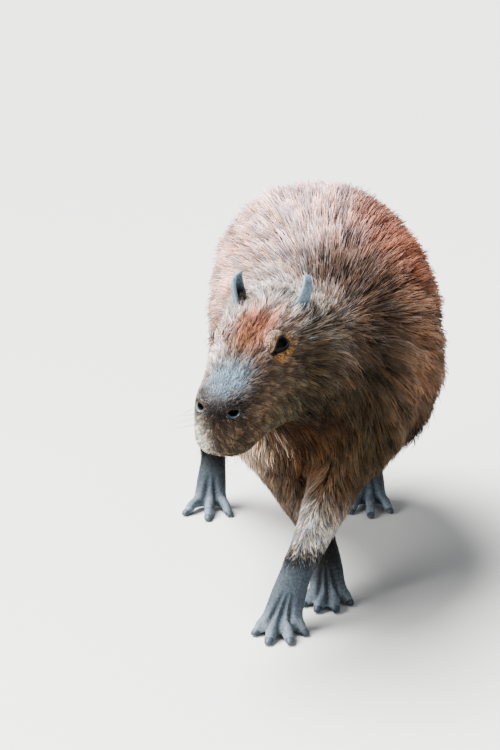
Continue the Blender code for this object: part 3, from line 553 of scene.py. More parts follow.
def head_loft(steps=4, sides=40):
    loft = Loft()
    turn = TO_MODEL[:3, :3]
    for x, top, bottom, half, power, coat in smooth_rows(HEAD, steps):
        middle = bottom + 0.47 * (top - bottom)
        across, upward = superellipse(half, top - middle, middle - bottom, power, sides)
        local = np.stack([np.full(sides, x), across, middle + upward], 1)
        centre = turn @ np.array((x, 0, middle)) + TO_MODEL[:3, 3]
        loft.add(local @ turn.T + TO_MODEL[:3, 3], centre, turn[:, 1], turn[:, 2], coat)
    return loft


def ball(centre, radius, segments, rings):
    """A sphere as rings from pole to pole."""
    found = []
    turn = np.linspace(0, 2 * math.pi, segments, endpoint=False)
    for i in range(1, rings):
        polar = math.pi * i / rings
        ring = np.stack([np.cos(turn), np.sin(turn), np.full(segments, math.cos(polar))], 1)
        ring[:, :2] *= math.sin(polar)
        found.append(np.array(centre) + radius * ring)
    points, faces = skin_rings(found)
    points[-2] = np.array(centre) + (0, 0, radius)
    points[-1] = np.array(centre) - (0, 0, radius)
    return points, faces


def toe_points(root, tip):
    """The root and the tip of a toe in space."""
    return Vector((*root, TOE_ROOT_HEIGHT)), Vector((*tip, TOE_TIP_HEIGHT))


def toe_loft(root, tip, steps=5, sides=18):
    """One toe: an arched finger from the foot to the quick of its nail."""
    root, tip = toe_points(root, tip)
    tip = tip + (root - tip).normalized() * 0.004
    back = root + (root - tip) * 0.25
    knuckle = root.lerp(tip, 0.42) + Vector((0, 0, 0.0055))
    pad = root.lerp(tip, 0.72)
    quick = root.lerp(tip, 0.88)
    wide = TOE_HALF_WIDTH
    stations = (
        (tuple(back), wide * 0.95, 0.010, 0),
        (tuple(root), wide * 1.02, 0.0115, 0),
        (tuple(knuckle), wide * 0.96, 0.0105, 0),
        (tuple(pad), wide, 0.0095, 0),
        (tuple(quick), wide * 0.86, 0.0082, 0),
        (tuple(tip), wide * 0.55, 0.0050, 0),
    )
    return tube_loft(stations, (tip - root).cross(Vector((0, 0, 1))), steps, sides)


def joined(parts):
    """Several (points, faces) as one."""
    points, faces, start = [], [], 0
    for p, f in parts:
        points.append(p)
        faces += [tuple(k + start for k in face) for face in f]
        start += len(p)
    return np.vstack(points), faces


def evaluated_mesh(obj):
    """The object's mesh with its modifiers applied, which then replaces it."""
    graph = bpy.context.evaluated_depsgraph_get()
    mesh = bpy.data.meshes.new_from_object(obj.evaluated_get(graph))
    obj.modifiers.clear()
    obj.data = mesh


def coordinates(mesh):
    found = np.empty(len(mesh.vertices) * 3)
    mesh.vertices.foreach_get("co", found)
    return found.reshape(-1, 3)


def normals_of(mesh):
    found = np.empty(len(mesh.vertices) * 3)
    mesh.vertices.foreach_get("normal", found)
    return found.reshape(-1, 3)


def neighbour_mean(mesh):
    """A function that gives each vertex the mean of its neighbours' values."""
    ends = np.empty(len(mesh.edges) * 2, np.int64)
    mesh.edges.foreach_get("vertices", ends)
    a, b = ends.reshape(-1, 2).T
    size = len(mesh.vertices)
    count = np.maximum(np.bincount(a, minlength=size) + np.bincount(b, minlength=size), 1)

    def mean(values):
        found = np.empty_like(values)
        for k in range(values.shape[1]):
            found[:, k] = np.bincount(a, values[b, k], size) + np.bincount(b, values[a, k], size)
        return found / count[:, None]

    return mean


def relax(mesh, weight, rounds):
    """Moves each point towards the mean of its neighbours, by its weight, for a number of rounds."""
    mean, points = neighbour_mean(mesh), coordinates(mesh)
    for _ in range(rounds):
        points += (mean(points) - points) * weight[:, None]
    mesh.vertices.foreach_set("co", points.ravel())
    mesh.update()


def face_share(points):
    """1 on the head, 0 behind it, smooth between."""
    return ramp(in_head(points)[:, 0], 0.03, 0.09) * ramp(points[:, 2], 0.27, 0.32)


def body_lofts():
    """Every loft of the animal's flesh, in a fixed order: trunk, neck, head, limbs."""
    lofts = [trunk_loft(), tube_loft(NECK, (1, 0, 0), sides=32), head_loft()]
    return lofts + [tube_loft(joints, (1, 0, 0)) for joints in LIMBS.values()]


def body_surface(lofts):
    """The whole animal as one object: every loft joined, remeshed and relaxed where limbs meet the trunk."""
    toes = [toe_loft(root, tip) for foot in TOES.values() for root, tip in foot]
    parts = [skin_rings(loft.rings) for loft in lofts + toes]
    for side in (-1, 1):
        parts.append(ball(eye_frame(side).translation, EYE_RADIUS + LID_THICKNESS, 28, 18))
    skin = mesh_object("skin", *joined(parts))
    remesh = skin.modifiers.new("one skin", "REMESH")
    remesh.mode = "VOXEL"
    remesh.voxel_size = VOXEL
    evaluated_mesh(skin)
    points = coordinates(skin.data)
    low = 1 - ramp(points[:, 2], 0.05, 0.16)
    weight = 0.62 * (1 - 0.75 * np.maximum(face_share(points), low))
    relax(skin.data, weight, round(50 * (0.0036 / VOXEL) ** 2))
    return skin


def refine(skin, share, rounds):
    """Splits the faces where share is over a half, and smooths what was split."""
    work = bmesh.new()
    work.from_mesh(skin.data)
    inside = share(coordinates(skin.data)) > 0.5
    work.verts.ensure_lookup_table()
    edges = [e for e in work.edges if inside[e.verts[0].index] and inside[e.verts[1].index]]
    bmesh.ops.subdivide_edges(work, edges=edges, cuts=1, use_grid_fill=True)
    uneven = [f for f in work.faces if len(f.verts) > 4]
    bmesh.ops.triangulate(work, faces=uneven)
    work.to_mesh(skin.data)
    work.free()
    points = coordinates(skin.data)
    relax(skin.data, 0.5 * share(points), rounds)


def side_frame(side):
    """The head's frame, mirrored for its right side."""
    return head_turn() @ Matrix.Diagonal((1, side, 1, 1))


def eye_frame(side):
    """A frame at the middle of an eyeball: z out through the opening, x towards its front corner."""
    place = side_frame(side)
    turn = place.to_3x3()
    z = (turn @ Vector(EYE_LOOKS[side])).normalized()
    fore = turn @ Vector((math.cos(EYE_SLANT), 0, math.sin(EYE_SLANT)))
    x = (fore - z * z.dot(fore)).normalized()
    y = turn @ Vector((0, 0, 1))
    y = (y - z * z.dot(y) - x * x.dot(y)).normalized()
    return Matrix.Translation(place @ Vector(EYE_AT)) @ Matrix((x, y, z)).transposed().to_4x4()


def in_frame(points, matrix):
    inverse = np.array(matrix.inverted())
    return points @ inverse[:3, :3].T + inverse[:3, 3]


def along_frame(origin, along, ref):
    """A frame at origin with z along one direction and x near another."""
    z = Vector(along).normalized()
    x = (Vector(ref) - z * z.dot(Vector(ref))).normalized()
    return Matrix.Translation(Vector(origin)) @ Matrix((x, z.cross(x), z)).transposed().to_4x4()


def nostril_frame(side):
    place = side_frame(side)
    turn = place.to_3x3()
    return along_frame(place @ Vector(NOSTRIL_AT), turn @ Vector(NOSTRIL_LOOKS), turn @ Vector((0.3, 0.2, 1)))


def almond(a, b):
    """How far a point beside the eye is outside the opening between the lids, by two crossing arcs."""
    outside = []
    for tall, sign in ((EYE_OPENING[1], 1), (EYE_OPENING[2], -1)):
        radius = (EYE_OPENING[0] ** 2 + tall ** 2) / (2 * tall)
        outside.append(np.hypot(a, b + sign * (radius - tall)) - radius)
    return np.maximum(*outside)


def around_eye(points, side):
    """For points near one eye: distance from its middle, distance outside the opening, and height in its frame."""
    local = in_frame(points, eye_frame(side))
    radius = np.linalg.norm(local, axis=1)
    flat = local / np.maximum(radius, 1e-6)[:, None] * EYE_RADIUS
    outside = np.where(local[:, 2] > -0.004, almond(flat[:, 0], flat[:, 1]), 1.0)
    outside = outside + np.maximum(radius - EYE_RADIUS - 0.005, 0)
    return radius, np.where(radius < 0.040, outside, 1.0), flat[:, 1]


def path_distance(points, path):
    """The distance from each point to a path of short straight runs."""
    best = np.full(len(points), 1.0)
    for a, b in zip(path[:-1], path[1:]):
        run = b - a
        t = np.clip(((points - a) @ run) / (run @ run), 0, 1)
        best = np.minimum(best, np.linalg.norm(points - a - t[:, None] * run, axis=1))
    return best


def laid_path(skin, path, steps=4):
    """A path of the head's frame laid on the skin, and given in the head's frame again."""
    surface = BVHTree.FromObject(skin, bpy.context.evaluated_depsgraph_get())
    turn = head_turn()
    laid = [surface.find_nearest(turn @ Vector(p))[0] for p in smooth_rows(path, steps)]
    return in_head(np.array(laid))


def mouth_paths(skin):
    """The line of the mouth from corner to corner, and the cleft of the upper lip."""
    right = [(x, -y, z) for x, y, z in reversed(MOUTH[1:])]
    return laid_path(skin, right + list(MOUTH)), laid_path(skin, PHILTRUM)


def nostril_reach(points, side):
    """How far each point is from a nostril's middle, as a share of its half width, and its local place."""
    local = in_frame(points, nostril_frame(side))
    bent = local[:, 0] - 14 * local[:, 1] ** 2 + 0.0006
    reach = np.hypot(bent / NOSTRIL[0], local[:, 1] / NOSTRIL[1])
    return np.where(np.abs(local[:, 2]) < 0.016, reach, 9.0)


def sculpt_head(skin, mouth, cleft):
    """Presses and raises the head's forms: brow, cheeks, whisker pads, nostrils, lips and lids."""
    points, normals = coordinates(skin.data), normals_of(skin.data)
    local = in_head(points)
    near = face_share(points) > 0.01
    height = np.zeros(len(points))
    for centre, radii, rise in HEAD_FORMS:
        for side in (-1, 1):
            at = (centre[0], side * centre[1], centre[2])
            height += rise * blob(local, at, radii) / (2 if centre[1] == 0 else 1)
    lip = path_distance(local, mouth)
    height += 0.0016 * np.exp(-((lip - 0.0055) / 0.0030) ** 2) - 0.0034 * np.exp(-(lip / 0.0015) ** 2)
    split = path_distance(local, cleft)
    height += 0.0010 * np.exp(-((split - 0.0050) / 0.0030) ** 2) - 0.0022 * np.exp(-(split / 0.0013) ** 2)
    points += normals * (height * near)[:, None]
    for side in (-1, 1):
        reach = nostril_reach(points, side)
        looks = np.array(nostril_frame(side).col[2])[:3]
        push = -0.0100 * (1 - ramp(reach, 0.50, 1.08)) + 0.0013 * np.exp(-((reach - 1.35) / 0.28) ** 2)
        points += looks * push[:, None]
        centre = np.array(eye_frame(side).translation)
        radius, outside, up = around_eye(points, side)
        lid = EYE_RADIUS - 0.003 + 0.0038 * ramp(outside, -0.0008, 0.0004) + 0.0026 * ramp(outside, 0, 0.0040)
        upper = ramp(up, 0.0, 0.004) * (1 - 0.8 * ramp(in_frame(points, eye_frame(side))[:, 0], 0.001, 0.012))
        lid += 0.0022 * upper * ramp(outside, 0.0008, 0.0050)
        lid -= 0.0013 * upper * np.exp(-((outside - 0.0090) / 0.0009) ** 2)
        share = 1 - ramp(outside, 0.0045, 0.0115)
        moved = radius + (lid - radius) * share
        moved -= 0.0016 * upper * np.exp(-((outside - 0.0125) / 0.0014) ** 2) * (outside < 0.5)
        points += (points - centre) * (moved / radius - 1)[:, None]
    points[:, 2] = np.maximum(points[:, 2], FLOOR_GAP)
    skin.data.vertices.foreach_set("co", points.ravel())
    skin.data.update()


def on_top(surface, path, steps=4):
    """A path through a foot moved out to the foot's upper face."""
    out = Vector(FOOT_FACES).normalized()
    found = []
    for p in smooth_rows(path, steps):
        hit = surface.ray_cast(Vector(p) + out * 0.06, -out)[0]
        found.append(np.array(hit if hit else p))
    return np.array(found)


def foot_forms(skin):
    """How far the skin of the feet rises over the bones of each toe, and how much of a groove lies between."""
    surface = BVHTree.FromObject(skin, bpy.context.evaluated_depsgraph_get())
    points = coordinates(skin.data)
    ridges, grooves = np.zeros(len(points)), np.zeros(len(points))
    for limb, toes in TOES.items():
        ankle = np.array(LIMBS[limb][-3][0])
        lines = []
        for root, tip in toes:
            root_at, tip_at = (np.array(p) for p in toe_points(root, tip))
            lines.append(np.array((tip_at, root_at * 0.5 + tip_at * 0.5, root_at, root_at * 0.5 + ankle * 0.5)))
        for line in lines:
            away = path_distance(points, on_top(surface, line))
            ridges = np.maximum(ridges, np.exp(-(away / TOE_RIDGE[1]) ** 2))
        for one, two in zip(lines, lines[1:]):
            away = path_distance(points, on_top(surface, ((one + two) / 2)[1:]))
            grooves = np.maximum(grooves, np.exp(-(away / TOE_GROOVE[1]) ** 2))
    fade = 1 - ramp(points[:, 2], *TOE_FADE)
    return (TOE_RIDGE[0] * ridges - TOE_GROOVE[0] * grooves) * fade, grooves * fade


def make_skin(lofts):
    """The finished skin, split finer on the head and finest round the eyes, the nose and the mouth."""
    skin = body_surface(lofts)
    refine(skin, lambda p: (p[:, 2] < FOOT_TOP).astype(float), 6)
    refine(skin, lambda p: (face_share(p) > 0.02).astype(float), 6)
    refine(skin, finest_share, 4)
    mouth, cleft = mouth_paths(skin)
    sculpt_head(skin, mouth, cleft)
    points = coordinates(skin.data)
    height, grooves = foot_forms(skin)
    points += normals_of(skin.data) * (height * (points[:, 2] > 0.004))[:, None]
    points[:, 2] = np.maximum(points[:, 2], FLOOR_GAP)
    skin.data.vertices.foreach_set("co", points.ravel())
    skin.data.update()
    return skin, mouth, grooves


def finest_share(points):
    """1 round the eyes, the nose and the mouth."""
    local = in_head(points)
    near = (local[:, 0] > 0.168) & (face_share(points) > 0.5)
    for side in (-1, 1):
        near |= np.linalg.norm(points - np.array(eye_frame(side).translation), axis=1) < 0.034
    return near.astype(float)


def linear(color):
    """A colour of 0 to 255 as shaders hold it."""
    c = np.array(color) / 255
    return np.where(c <= 0.04045, c / 12.92, ((c + 0.055) / 1.055) ** 2.4)


def markings(points, normals):
    """The colour of the coat at each point, from soft spots laid over each other in order, painted light and shade
    among them.
    """
    color = np.tile(linear(BASE_COLOR), (len(points), 1))
    local = in_head(points)
    for spot, centre, radii, tone, strength in MARKS:
        share = np.zeros(len(points))
        places = [centre, (centre[0], -centre[1], centre[2])] if spot == "head" else [centre]
        for at in places:
            share = np.maximum(share, blob(points if spot == "body" else local, at, radii))
        share = np.clip(share * 1.6, 0, 1) * strength
        color += (linear(tone) - color) * share[:, None]
    slate = 1 - ramp(points[:, 2], *SLATE_HEIGHTS)
    # paler towards the floor: painted sky sheen over the slate of the toes
    toes = 1 - ramp(points[:, 2], *TOE_HEIGHTS)
    wrist = ramp(points[:, 2], SLATE_HEIGHTS[0] - 0.03, SLATE_HEIGHTS[0] + 0.02)
    tone = linear(SLATE) + (linear(TOE_SLATE_SHEEN) - linear(SLATE)) * toes[:, None]
    tone += (linear(SLATE_DARK) - tone) * wrist[:, None]
    color += (tone - color) * slate[:, None]
    # painted shade: the shaded lower legs darkened nearly to black over the slate
    for centre, radii in LEG_SHADES:
        color += (linear(LEG_SHADE) - color) * 0.94 * np.clip(1.4 * blob(points, centre, radii), 0, 1)[:, None]
    # painted shade: surfaces of the trunk and neck that face down are darkened
    under = ramp(-normals[:, 2], 0.35, 0.9) * ramp(points[:, 2], 0.10, 0.16) * (1 - face_share(points))
    color += (linear(UNDERSIDE_SHADE_COLOR) - color) * (under * 0.6)[:, None]
    for side in (-1, 1):
        _, outside, up = around_eye(points, side)
        ring = np.exp(-((outside - 0.0050) / 0.0050) ** 2)
        # ochre below the eye, the upper lid's pale skin above it, paler as painted light from above
        tone = linear(OCHRE) + (linear(UPPER_LID_LIT_COLOR) - linear(OCHRE)) * ramp(up, 0.0, 0.006)[:, None]
        color += (tone - color) * (ring * 0.80)[:, None]
        # painted highlight: a blue-grey band of sky sheen on the brow above the eye
        brow_sheen = np.exp(-((outside - 0.0150) / 0.0045) ** 2) * ramp(up, 0, 0.006)
        color += (linear(BROW_SKY_SHEEN) - color) * (brow_sheen * 0.85)[:, None]
        rim = 1 - ramp(outside, 0.0004, 0.0014)
        tears = in_frame(points, eye_frame(side))
        rim = np.maximum(rim, np.clip(1.0 * blob(tears, TEAR_AT, (0.0030, 0.0012, 0.0060)), 0, 1))
        color += (linear(RIM_COLOR) - color) * rim[:, None]
        reach = nostril_reach(points, side)
        # painted highlight along the wet lower rim of each nostril
        below = ramp(-in_frame(points, nostril_frame(side))[:, 0], 0.0010, 0.0040)
        wet = np.exp(-((reach - 1.16) / 0.14) ** 2) * below
        color += (linear(NOSTRIL_RIM_SHEEN) - color) * (wet * 0.75)[:, None]
        # painted shade: the sunken opening of each nostril painted near black
        pit = 1 - ramp(reach, 0.9, 1.12)
        color += (linear((12, 10, 10)) - color) * pit[:, None]
    return color


def bareness(points, mouth):
    """1 where the skin is bare: nostrils, lids, lips and toes; 0 under the coat."""
    local = in_head(points)
    bare = 1 - ramp(path_distance(local, mouth), 0.0012, 0.0035)
    bare = np.maximum(bare, 1 - ramp(points[:, 2], 0.012, 0.030))
    for side in (-1, 1):
        _, outside, up = around_eye(points, side)
        bare = np.maximum(bare, 1 - ramp(outside - UPPER_LID * ramp(up, 0.001, 0.005), 0.0006, 0.0018))
        bare = np.maximum(bare, 1 - ramp(nostril_reach(points, side), 1.02, 1.30))
    return bare


def nearest_ring(points, lofts):
    """For each point: the loft and the ring that it is nearest to."""
    rings = [(i, j) for i, loft in enumerate(lofts) for j in range(len(loft.rings))]
    tree = KDTree(sum(len(lofts[i].rings[j]) for i, j in rings))
    owner = []
    for k, (i, j) in enumerate(rings):
        for p in lofts[i].rings[j]:
            tree.insert(Vector(p), len(owner))
            owner.append(k)
    tree.balance()
    owner = np.array(owner)[[tree.find(Vector(p))[1] for p in points]]
    return np.array(rings)[owner]


def coat_depth(skin, lofts):
    """The coat's depth at each vertex, as the lofts give it, evened out."""
    owner = nearest_ring(coordinates(skin.data), lofts)
    depth = np.array([lofts[i].coats[j] for i, j in owner])[:, None]
    mean = neighbour_mean(skin.data)
    for _ in range(40):
        depth = mean(depth)
    return depth[:, 0]


def coat_lie(points, normals):
    """The way the coat lies: back over the trunk and down its sides, back from the nose, down the legs."""
    x, y, z = points.T
    down = 0.12 + 0.95 * (1 - ramp(z, 0.24, 0.50)) + 0.55 * ramp(-y, 0.02, 0.20) * (1 - ramp(z, 0.42, 0.50))
    fan = 3.0 * (x - 0.01) * ramp(y, -0.25, -0.05) * (1 - ramp(y, 0.2, 0.4)) * ramp(z, 0.30, 0.45)
    way = np.stack([fan, np.ones(len(points)), -down], 1)
    way[:, 0] += 0.7 * np.clip(1.5 * blob(points, *THROAT), 0, 1)
    leg = 1 - ramp(z, 0.17, 0.26)
    way += (np.array((0, 0.25, -1.6)) - way) * leg[:, None]
    local, facing = in_head(points), normals @ TO_HEAD[:3, :3].T
    side = np.sign(local[:, 1])
    flank = np.abs(facing[:, 1])
    low = ramp(-local[:, 2], -0.03, 0.06)
    head = np.stack([-np.ones(len(points)), 0.10 * side, -(0.45 + 0.75 * low) * flank], 1)
    front = ramp(facing[:, 0], 0.35, 0.85) * ramp(local[:, 0], 0.20, 0.235)
    head += (np.stack([-0.2 * front, 0.55 * side, -0.9 * front], 1) - head) * front[:, None]
    chin = ramp(-facing[:, 2], 0.3, 0.8) * ramp(local[:, 0], 0.15, 0.22)
    head += (np.stack([-0.9 + 0 * chin, 0 * chin, -0.5 * chin], 1) - head) * chin[:, None]
    share = ramp(local[:, 0], -0.02, 0.05) * ramp(z, 0.25, 0.31)
    way = unit(way) + (head @ TO_MODEL[:3, :3].T - unit(way)) * share[:, None]
    way = unit(way - normals * (way * normals).sum(1)[:, None])
    for each in (-1, 1):
        toward = np.array(side_frame(each) @ Vector(EAR_AT[each])) - points
        close = np.exp(-(np.linalg.norm(toward, axis=1) / 0.024) ** 2)
        toward = unit(toward - normals * (toward * normals).sum(1)[:, None])
        way = way + toward * (1.4 * close)[:, None]
        away = points - np.array(eye_frame(each).translation)
        away = unit(away - normals * (away * normals).sum(1)[:, None])
        near = np.exp(-(np.maximum(around_eye(points, each)[1], 0) / 0.006) ** 2)
        way = way + away * (0.9 * near)[:, None]
    return unit(way)


def triangles_of(mesh):
    mesh.calc_loop_triangles()
    found = np.empty(len(mesh.loop_triangles) * 3, np.int64)
    mesh.loop_triangles.foreach_get("vertices", found)
    return found.reshape(-1, 3)


def scatter(points, triangles, density, random):
    """Even roots on a surface, as triangles and shares of their corners, from a density at each vertex."""
    a, b, c = (points[triangles[:, k]] for k in range(3))
    area = 0.5 * np.linalg.norm(np.cross(b - a, c - a), axis=1)
    reach = np.cumsum(area * density[triangles].mean(1))
    picks = np.arange(int(reach[-1])) + random.uniform(0, 1, int(reach[-1]))
    chosen = triangles[np.searchsorted(reach, picks).clip(0, len(triangles) - 1)]
    u, v = random.uniform(0, 1, (2, len(chosen)))
    u, v = np.where(u + v > 1, (1 - u, 1 - v), (u, v))
    return chosen, np.stack([1 - u - v, u, v], 1)


def at_roots(values, chosen, shares):
    """A vertex field read at the roots."""
    if values.ndim == 1:
        return (values[chosen] * shares).sum(1)
    return (values[chosen] * shares[:, :, None]).sum(1)


def follow(surface, face_lie, place, way, step):
    """The points one step along the coat's lie, back on the skin, with their normals and lie."""
    found, normal, lie = np.empty_like(place), np.empty_like(place), np.empty_like(place)
    for i, target in enumerate(place + way * step[:, None]):
        at, out, face, _ = surface.find_nearest(target)
        found[i], normal[i], lie[i] = at, out, face_lie[face]
    return found, normal, lie


def clump_leaders(place, random):
    """For each tuft, the one that leads its clump."""
    pick = random.permutation(len(place))[: max(len(place) // CLUMP_SIZE, 1)]
    tree = KDTree(len(pick))
    for k, i in enumerate(pick):
        tree.insert(Vector(place[i]), k)
    tree.balance()
    return pick[np.array([tree.find(Vector(p))[1] for p in place])]


def streaks(place, lie, random):
    """An even spread of values from 0 to 1 at the roots, alike along the lie of the coat."""
    tree = KDTree(len(place))
    for i, p in enumerate(place):
        tree.insert(Vector(p), i)
    tree.balance()
    near = np.array([[found[1] for found in tree.find_n(Vector(p), STREAK_NEAR)] for p in place])
    away = place[near] - place[:, None]
    ahead = np.abs((away * lie[:, None]).sum(2))
    beside = np.sqrt(np.maximum((away ** 2).sum(2) - ahead ** 2, 0))
    reach = ahead.mean(1)[:, None]
    weight = np.exp(-(beside / (STREAK_WIDTH * reach)) ** 2 - (ahead / (4 * reach)) ** 2)
    weight /= weight.sum(1)[:, None]
    value = random.normal(size=len(place))
    for _ in range(STREAK_ROUNDS):
        value = (value[near] * weight).sum(1)
    return np.argsort(np.argsort(value)) / len(value)


def tuft_rings(roots, leader, random, stations):
    """The stations of every tuft, and the way up from the skin. A tuft rises, then lies flat over the others."""
    place, normal, lie, length = roots["place"], roots["normal"], roots["lie"], roots["length"]
    half = length * 0.5
    middle, middle_normal, middle_lie = follow(roots["surface"], roots["face_lie"], place, lie, half)
    end, end_normal, _ = follow(roots["surface"], roots["face_lie"], middle, middle_lie, half)
    lift = np.minimum(roots["depth"] * random.uniform(*LIFT, len(place)), length * STEEPEST)
    stray = random.uniform(0, 1, len(place)) < STRAY_SHARE
    end = end + end_normal * np.where(stray, lift * 1.5, lift)[:, None]
    middle = middle + middle_normal * (0.84 * lift)[:, None]
    middle += np.cross(normal, lie) * (length * random.normal(0, 0.022, len(place)))[:, None]
    shift = (end[leader] - place[leader]) * (length / length[leader])[:, None] + place[leader] - end
    pull = roots["clump"][:, None]
    end = end + shift * pull
    middle = middle + shift * pull * 0.30
    start = place - normal * ROOT_SINK
    rings = []
    for s in stations:
        one, two, three = (1 - s) * (1 - 2 * s), 4 * s * (1 - s), s * (2 * s - 1)
        rings.append(start * one + middle * two + end * three)
    return rings, unit(normal + middle_normal)


def tuft_mesh(name, roots, random, stations, widths):
    """One coat piece: closed tapering tufts of triangular section, with their colours and their bake map."""
    leader = clump_leaders(roots["place"], random)
    rings, up = tuft_rings(roots, leader, random, stations)
    count, levels = len(roots["place"]), len(stations)
    roll = random.uniform(-0.5, 0.5, count)[:, None]
    corners = []
    for k in range(levels - 1):
        along = unit(rings[k + 1] - rings[max(k - 1, 0)])
        across = unit(np.cross(along, up))
        ridge = np.cross(across, along)
        across, ridge = across * np.cos(roll) + ridge * np.sin(roll), ridge * np.cos(roll) - across * np.sin(roll)
        half = (roots["half"] * widths[k])[:, None]
        corners += [rings[k] + across * half, rings[k] + ridge * half * 0.8, rings[k] - across * half]
    corners.append(rings[-1])
    size = len(corners)
    points = np.stack(corners, 1).reshape(-1, 3)
    points[:, 2] = np.maximum(points[:, 2], FLOOR_GAP)
    faces = [(0, 1, 2)]
    for k in range(levels - 2):
        for a, b in ((0, 1), (1, 2), (2, 0)):
            faces.append((3 * k + b, 3 * k + a, 3 * k + 3 + a, 3 * k + 3 + b))
    for a, b in ((0, 1), (1, 2), (2, 0)):
        faces.append((size - 4 + b, size - 4 + a, size - 1))
    along = np.repeat(stations[:-1], 3).tolist() + [1.0]
    sideways = [0, 0.5, 1] * (levels - 1) + [0.5]
    pattern = np.concatenate([np.array(f) for f in faces])
    totals = np.tile([len(f) for f in faces], count)
    loops = (pattern[None] + size * np.arange(count)[:, None]).ravel()
    mesh = bpy.data.meshes.new(name)
    mesh.vertices.add(len(points))
    mesh.vertices.foreach_set("co", points.ravel())
    mesh.loops.add(len(loops))
    mesh.loops.foreach_set("vertex_index", loops)
    mesh.polygons.add(len(totals))
    mesh.polygons.foreach_set("loop_start", np.concatenate([[0], np.cumsum(totals)[:-1]]))
    mesh.polygons.foreach_set("loop_total", totals)
    mesh.update(calc_edges=True)
    mesh.shade_smooth()
    color = np.ones((count, size, 4))
    own = random.uniform(0, 1, (2, count))
    tint = CLUMP_TINT * roots["streak"][leader] + (1 - CLUMP_TINT) * (0.5 + (own[0] - 0.5) * roots["contrast"])
    warm = CLUMP_TINT * own[1, leader] + (1 - CLUMP_TINT) * own[1]
    warmth = 1 + WARMTH * (2 * warm - 1)[:, None] * np.array((1.0, 0.0, -1.2))
    color[:, :, :3] = (roots["color"] * warmth)[:, None]
    color[:, :, 3] = along
    add_color(mesh, color.reshape(-1, 4))
    shade = mesh.attributes.new("tint", "FLOAT", "POINT")
    shade.data.foreach_set("value", np.repeat(tint, size))
    patch = np.stack([np.array(sideways), np.array(along)], 1) * BAKE_PATCH
    place = (roots["map"][:, None] + patch[None]).reshape(-1, 2)
    layer = mesh.uv_layers.new(name="OFBake")
    layer.data.foreach_set("uv", place[loops].ravel())
    obj = bpy.data.objects.new(name, mesh)
    bpy.context.scene.collection.objects.link(obj)
    return obj


def add_color(mesh, color):
    """The marks of a mesh, as a colour at each vertex whose last value is how far along a tuft it is."""
    layer = mesh.attributes.new("marks", "FLOAT_COLOR", "POINT")
    layer.data.foreach_set("color", color.astype(np.float32).ravel())


def bake_place(points, owner, lofts):
    """Each root's place on an unwrap of the body: round and along its own loft, each loft in its own frame."""
    found = np.empty((len(points), 2))
    for i, loft in enumerate(lofts):
        mine = np.nonzero(owner[:, 0] == i)[0]
        ring = owner[mine, 1]
        away = points[mine] - np.array(loft.centres)[ring]
        side = (away * np.array(loft.across)[ring]).sum(1)
        rise = (away * np.array(loft.upward)[ring]).sum(1)
        ahead = np.abs((away * np.array(loft.along)[ring]).sum(1)) * BAKE_RUN
        low, high = BAKE_FRAMES[i]
        share = np.stack([np.arctan2(rise, side) / (2 * math.pi) + 0.5, (ring + ahead) / len(loft.rings)], 1)
        found[mine] = np.array(low) + share.clip(0, 1) * (np.array(high) - np.array(low) - BAKE_PATCH)
    return found


def coat_name(points, normals, owner):
    """Which coat piece each root belongs to."""
    local = in_head(points)
    left = np.where(points[:, 0] > 0.02, "left", "right")
    names = np.char.add("coat_flank_", left)
    back = np.where(points[:, 1] > 0.14, "coat_rump", "coat_back")
    names = np.where(normals[:, 2] > 0.55, back, names)
    names = np.where((normals[:, 2] < -0.45), "coat_belly", names)
    names = np.where((points[:, 1] > 0.36) & (normals[:, 2] <= 0.55), "coat_tail_end", names)
    names = np.where((points[:, 1] < -0.10) & (owner[:, 0] != 2), np.char.add("coat_neck_", left), names)
    for number, limb in enumerate(LIMBS, 3):
        names = np.where((owner[:, 0] == number) & (points[:, 2] < 0.30), f"coat_{limb}_leg", names)
    face = np.where(local[:, 0] > 0.10, "coat_muzzle", "coat_cheek")
    head = np.char.add(np.char.add(face, "_"), np.where(local[:, 1] > 0, "left", "right"))
    return np.where(owner[:, 0] == 2, head, names)


def coat_length(points, depth):
    """How long tufts are and how high they rise: most by the ears, the jaw and the chin, least at the eyes."""
    local = in_head(points)
    length = 0.0045 + 1.9 * depth
    rise = depth.copy()
    for centre, radii, longer, higher in LONGER_TUFTS:
        for side in (-1, 1):
            at = (centre[0], side * centre[1], centre[2])
            share = blob(local, at, radii) / (2 if centre[1] == 0 else 1)
            length += longer * share
            rise += higher * share
    length *= 1 - 0.62 * np.clip(1.6 * blob(local, SNOUT_AT, (0.036, 0.026, 0.024)), 0, 1)
    length *= 1 - 0.50 * np.clip(1.6 * blob(local, NOSE_AT, (0.022, 0.040, 0.030)), 0, 1)
    for side in (-1, 1):
        length *= 0.16 + 0.84 * ramp(around_eye(points, side)[1], 0.004, 0.019)
    return length, rise


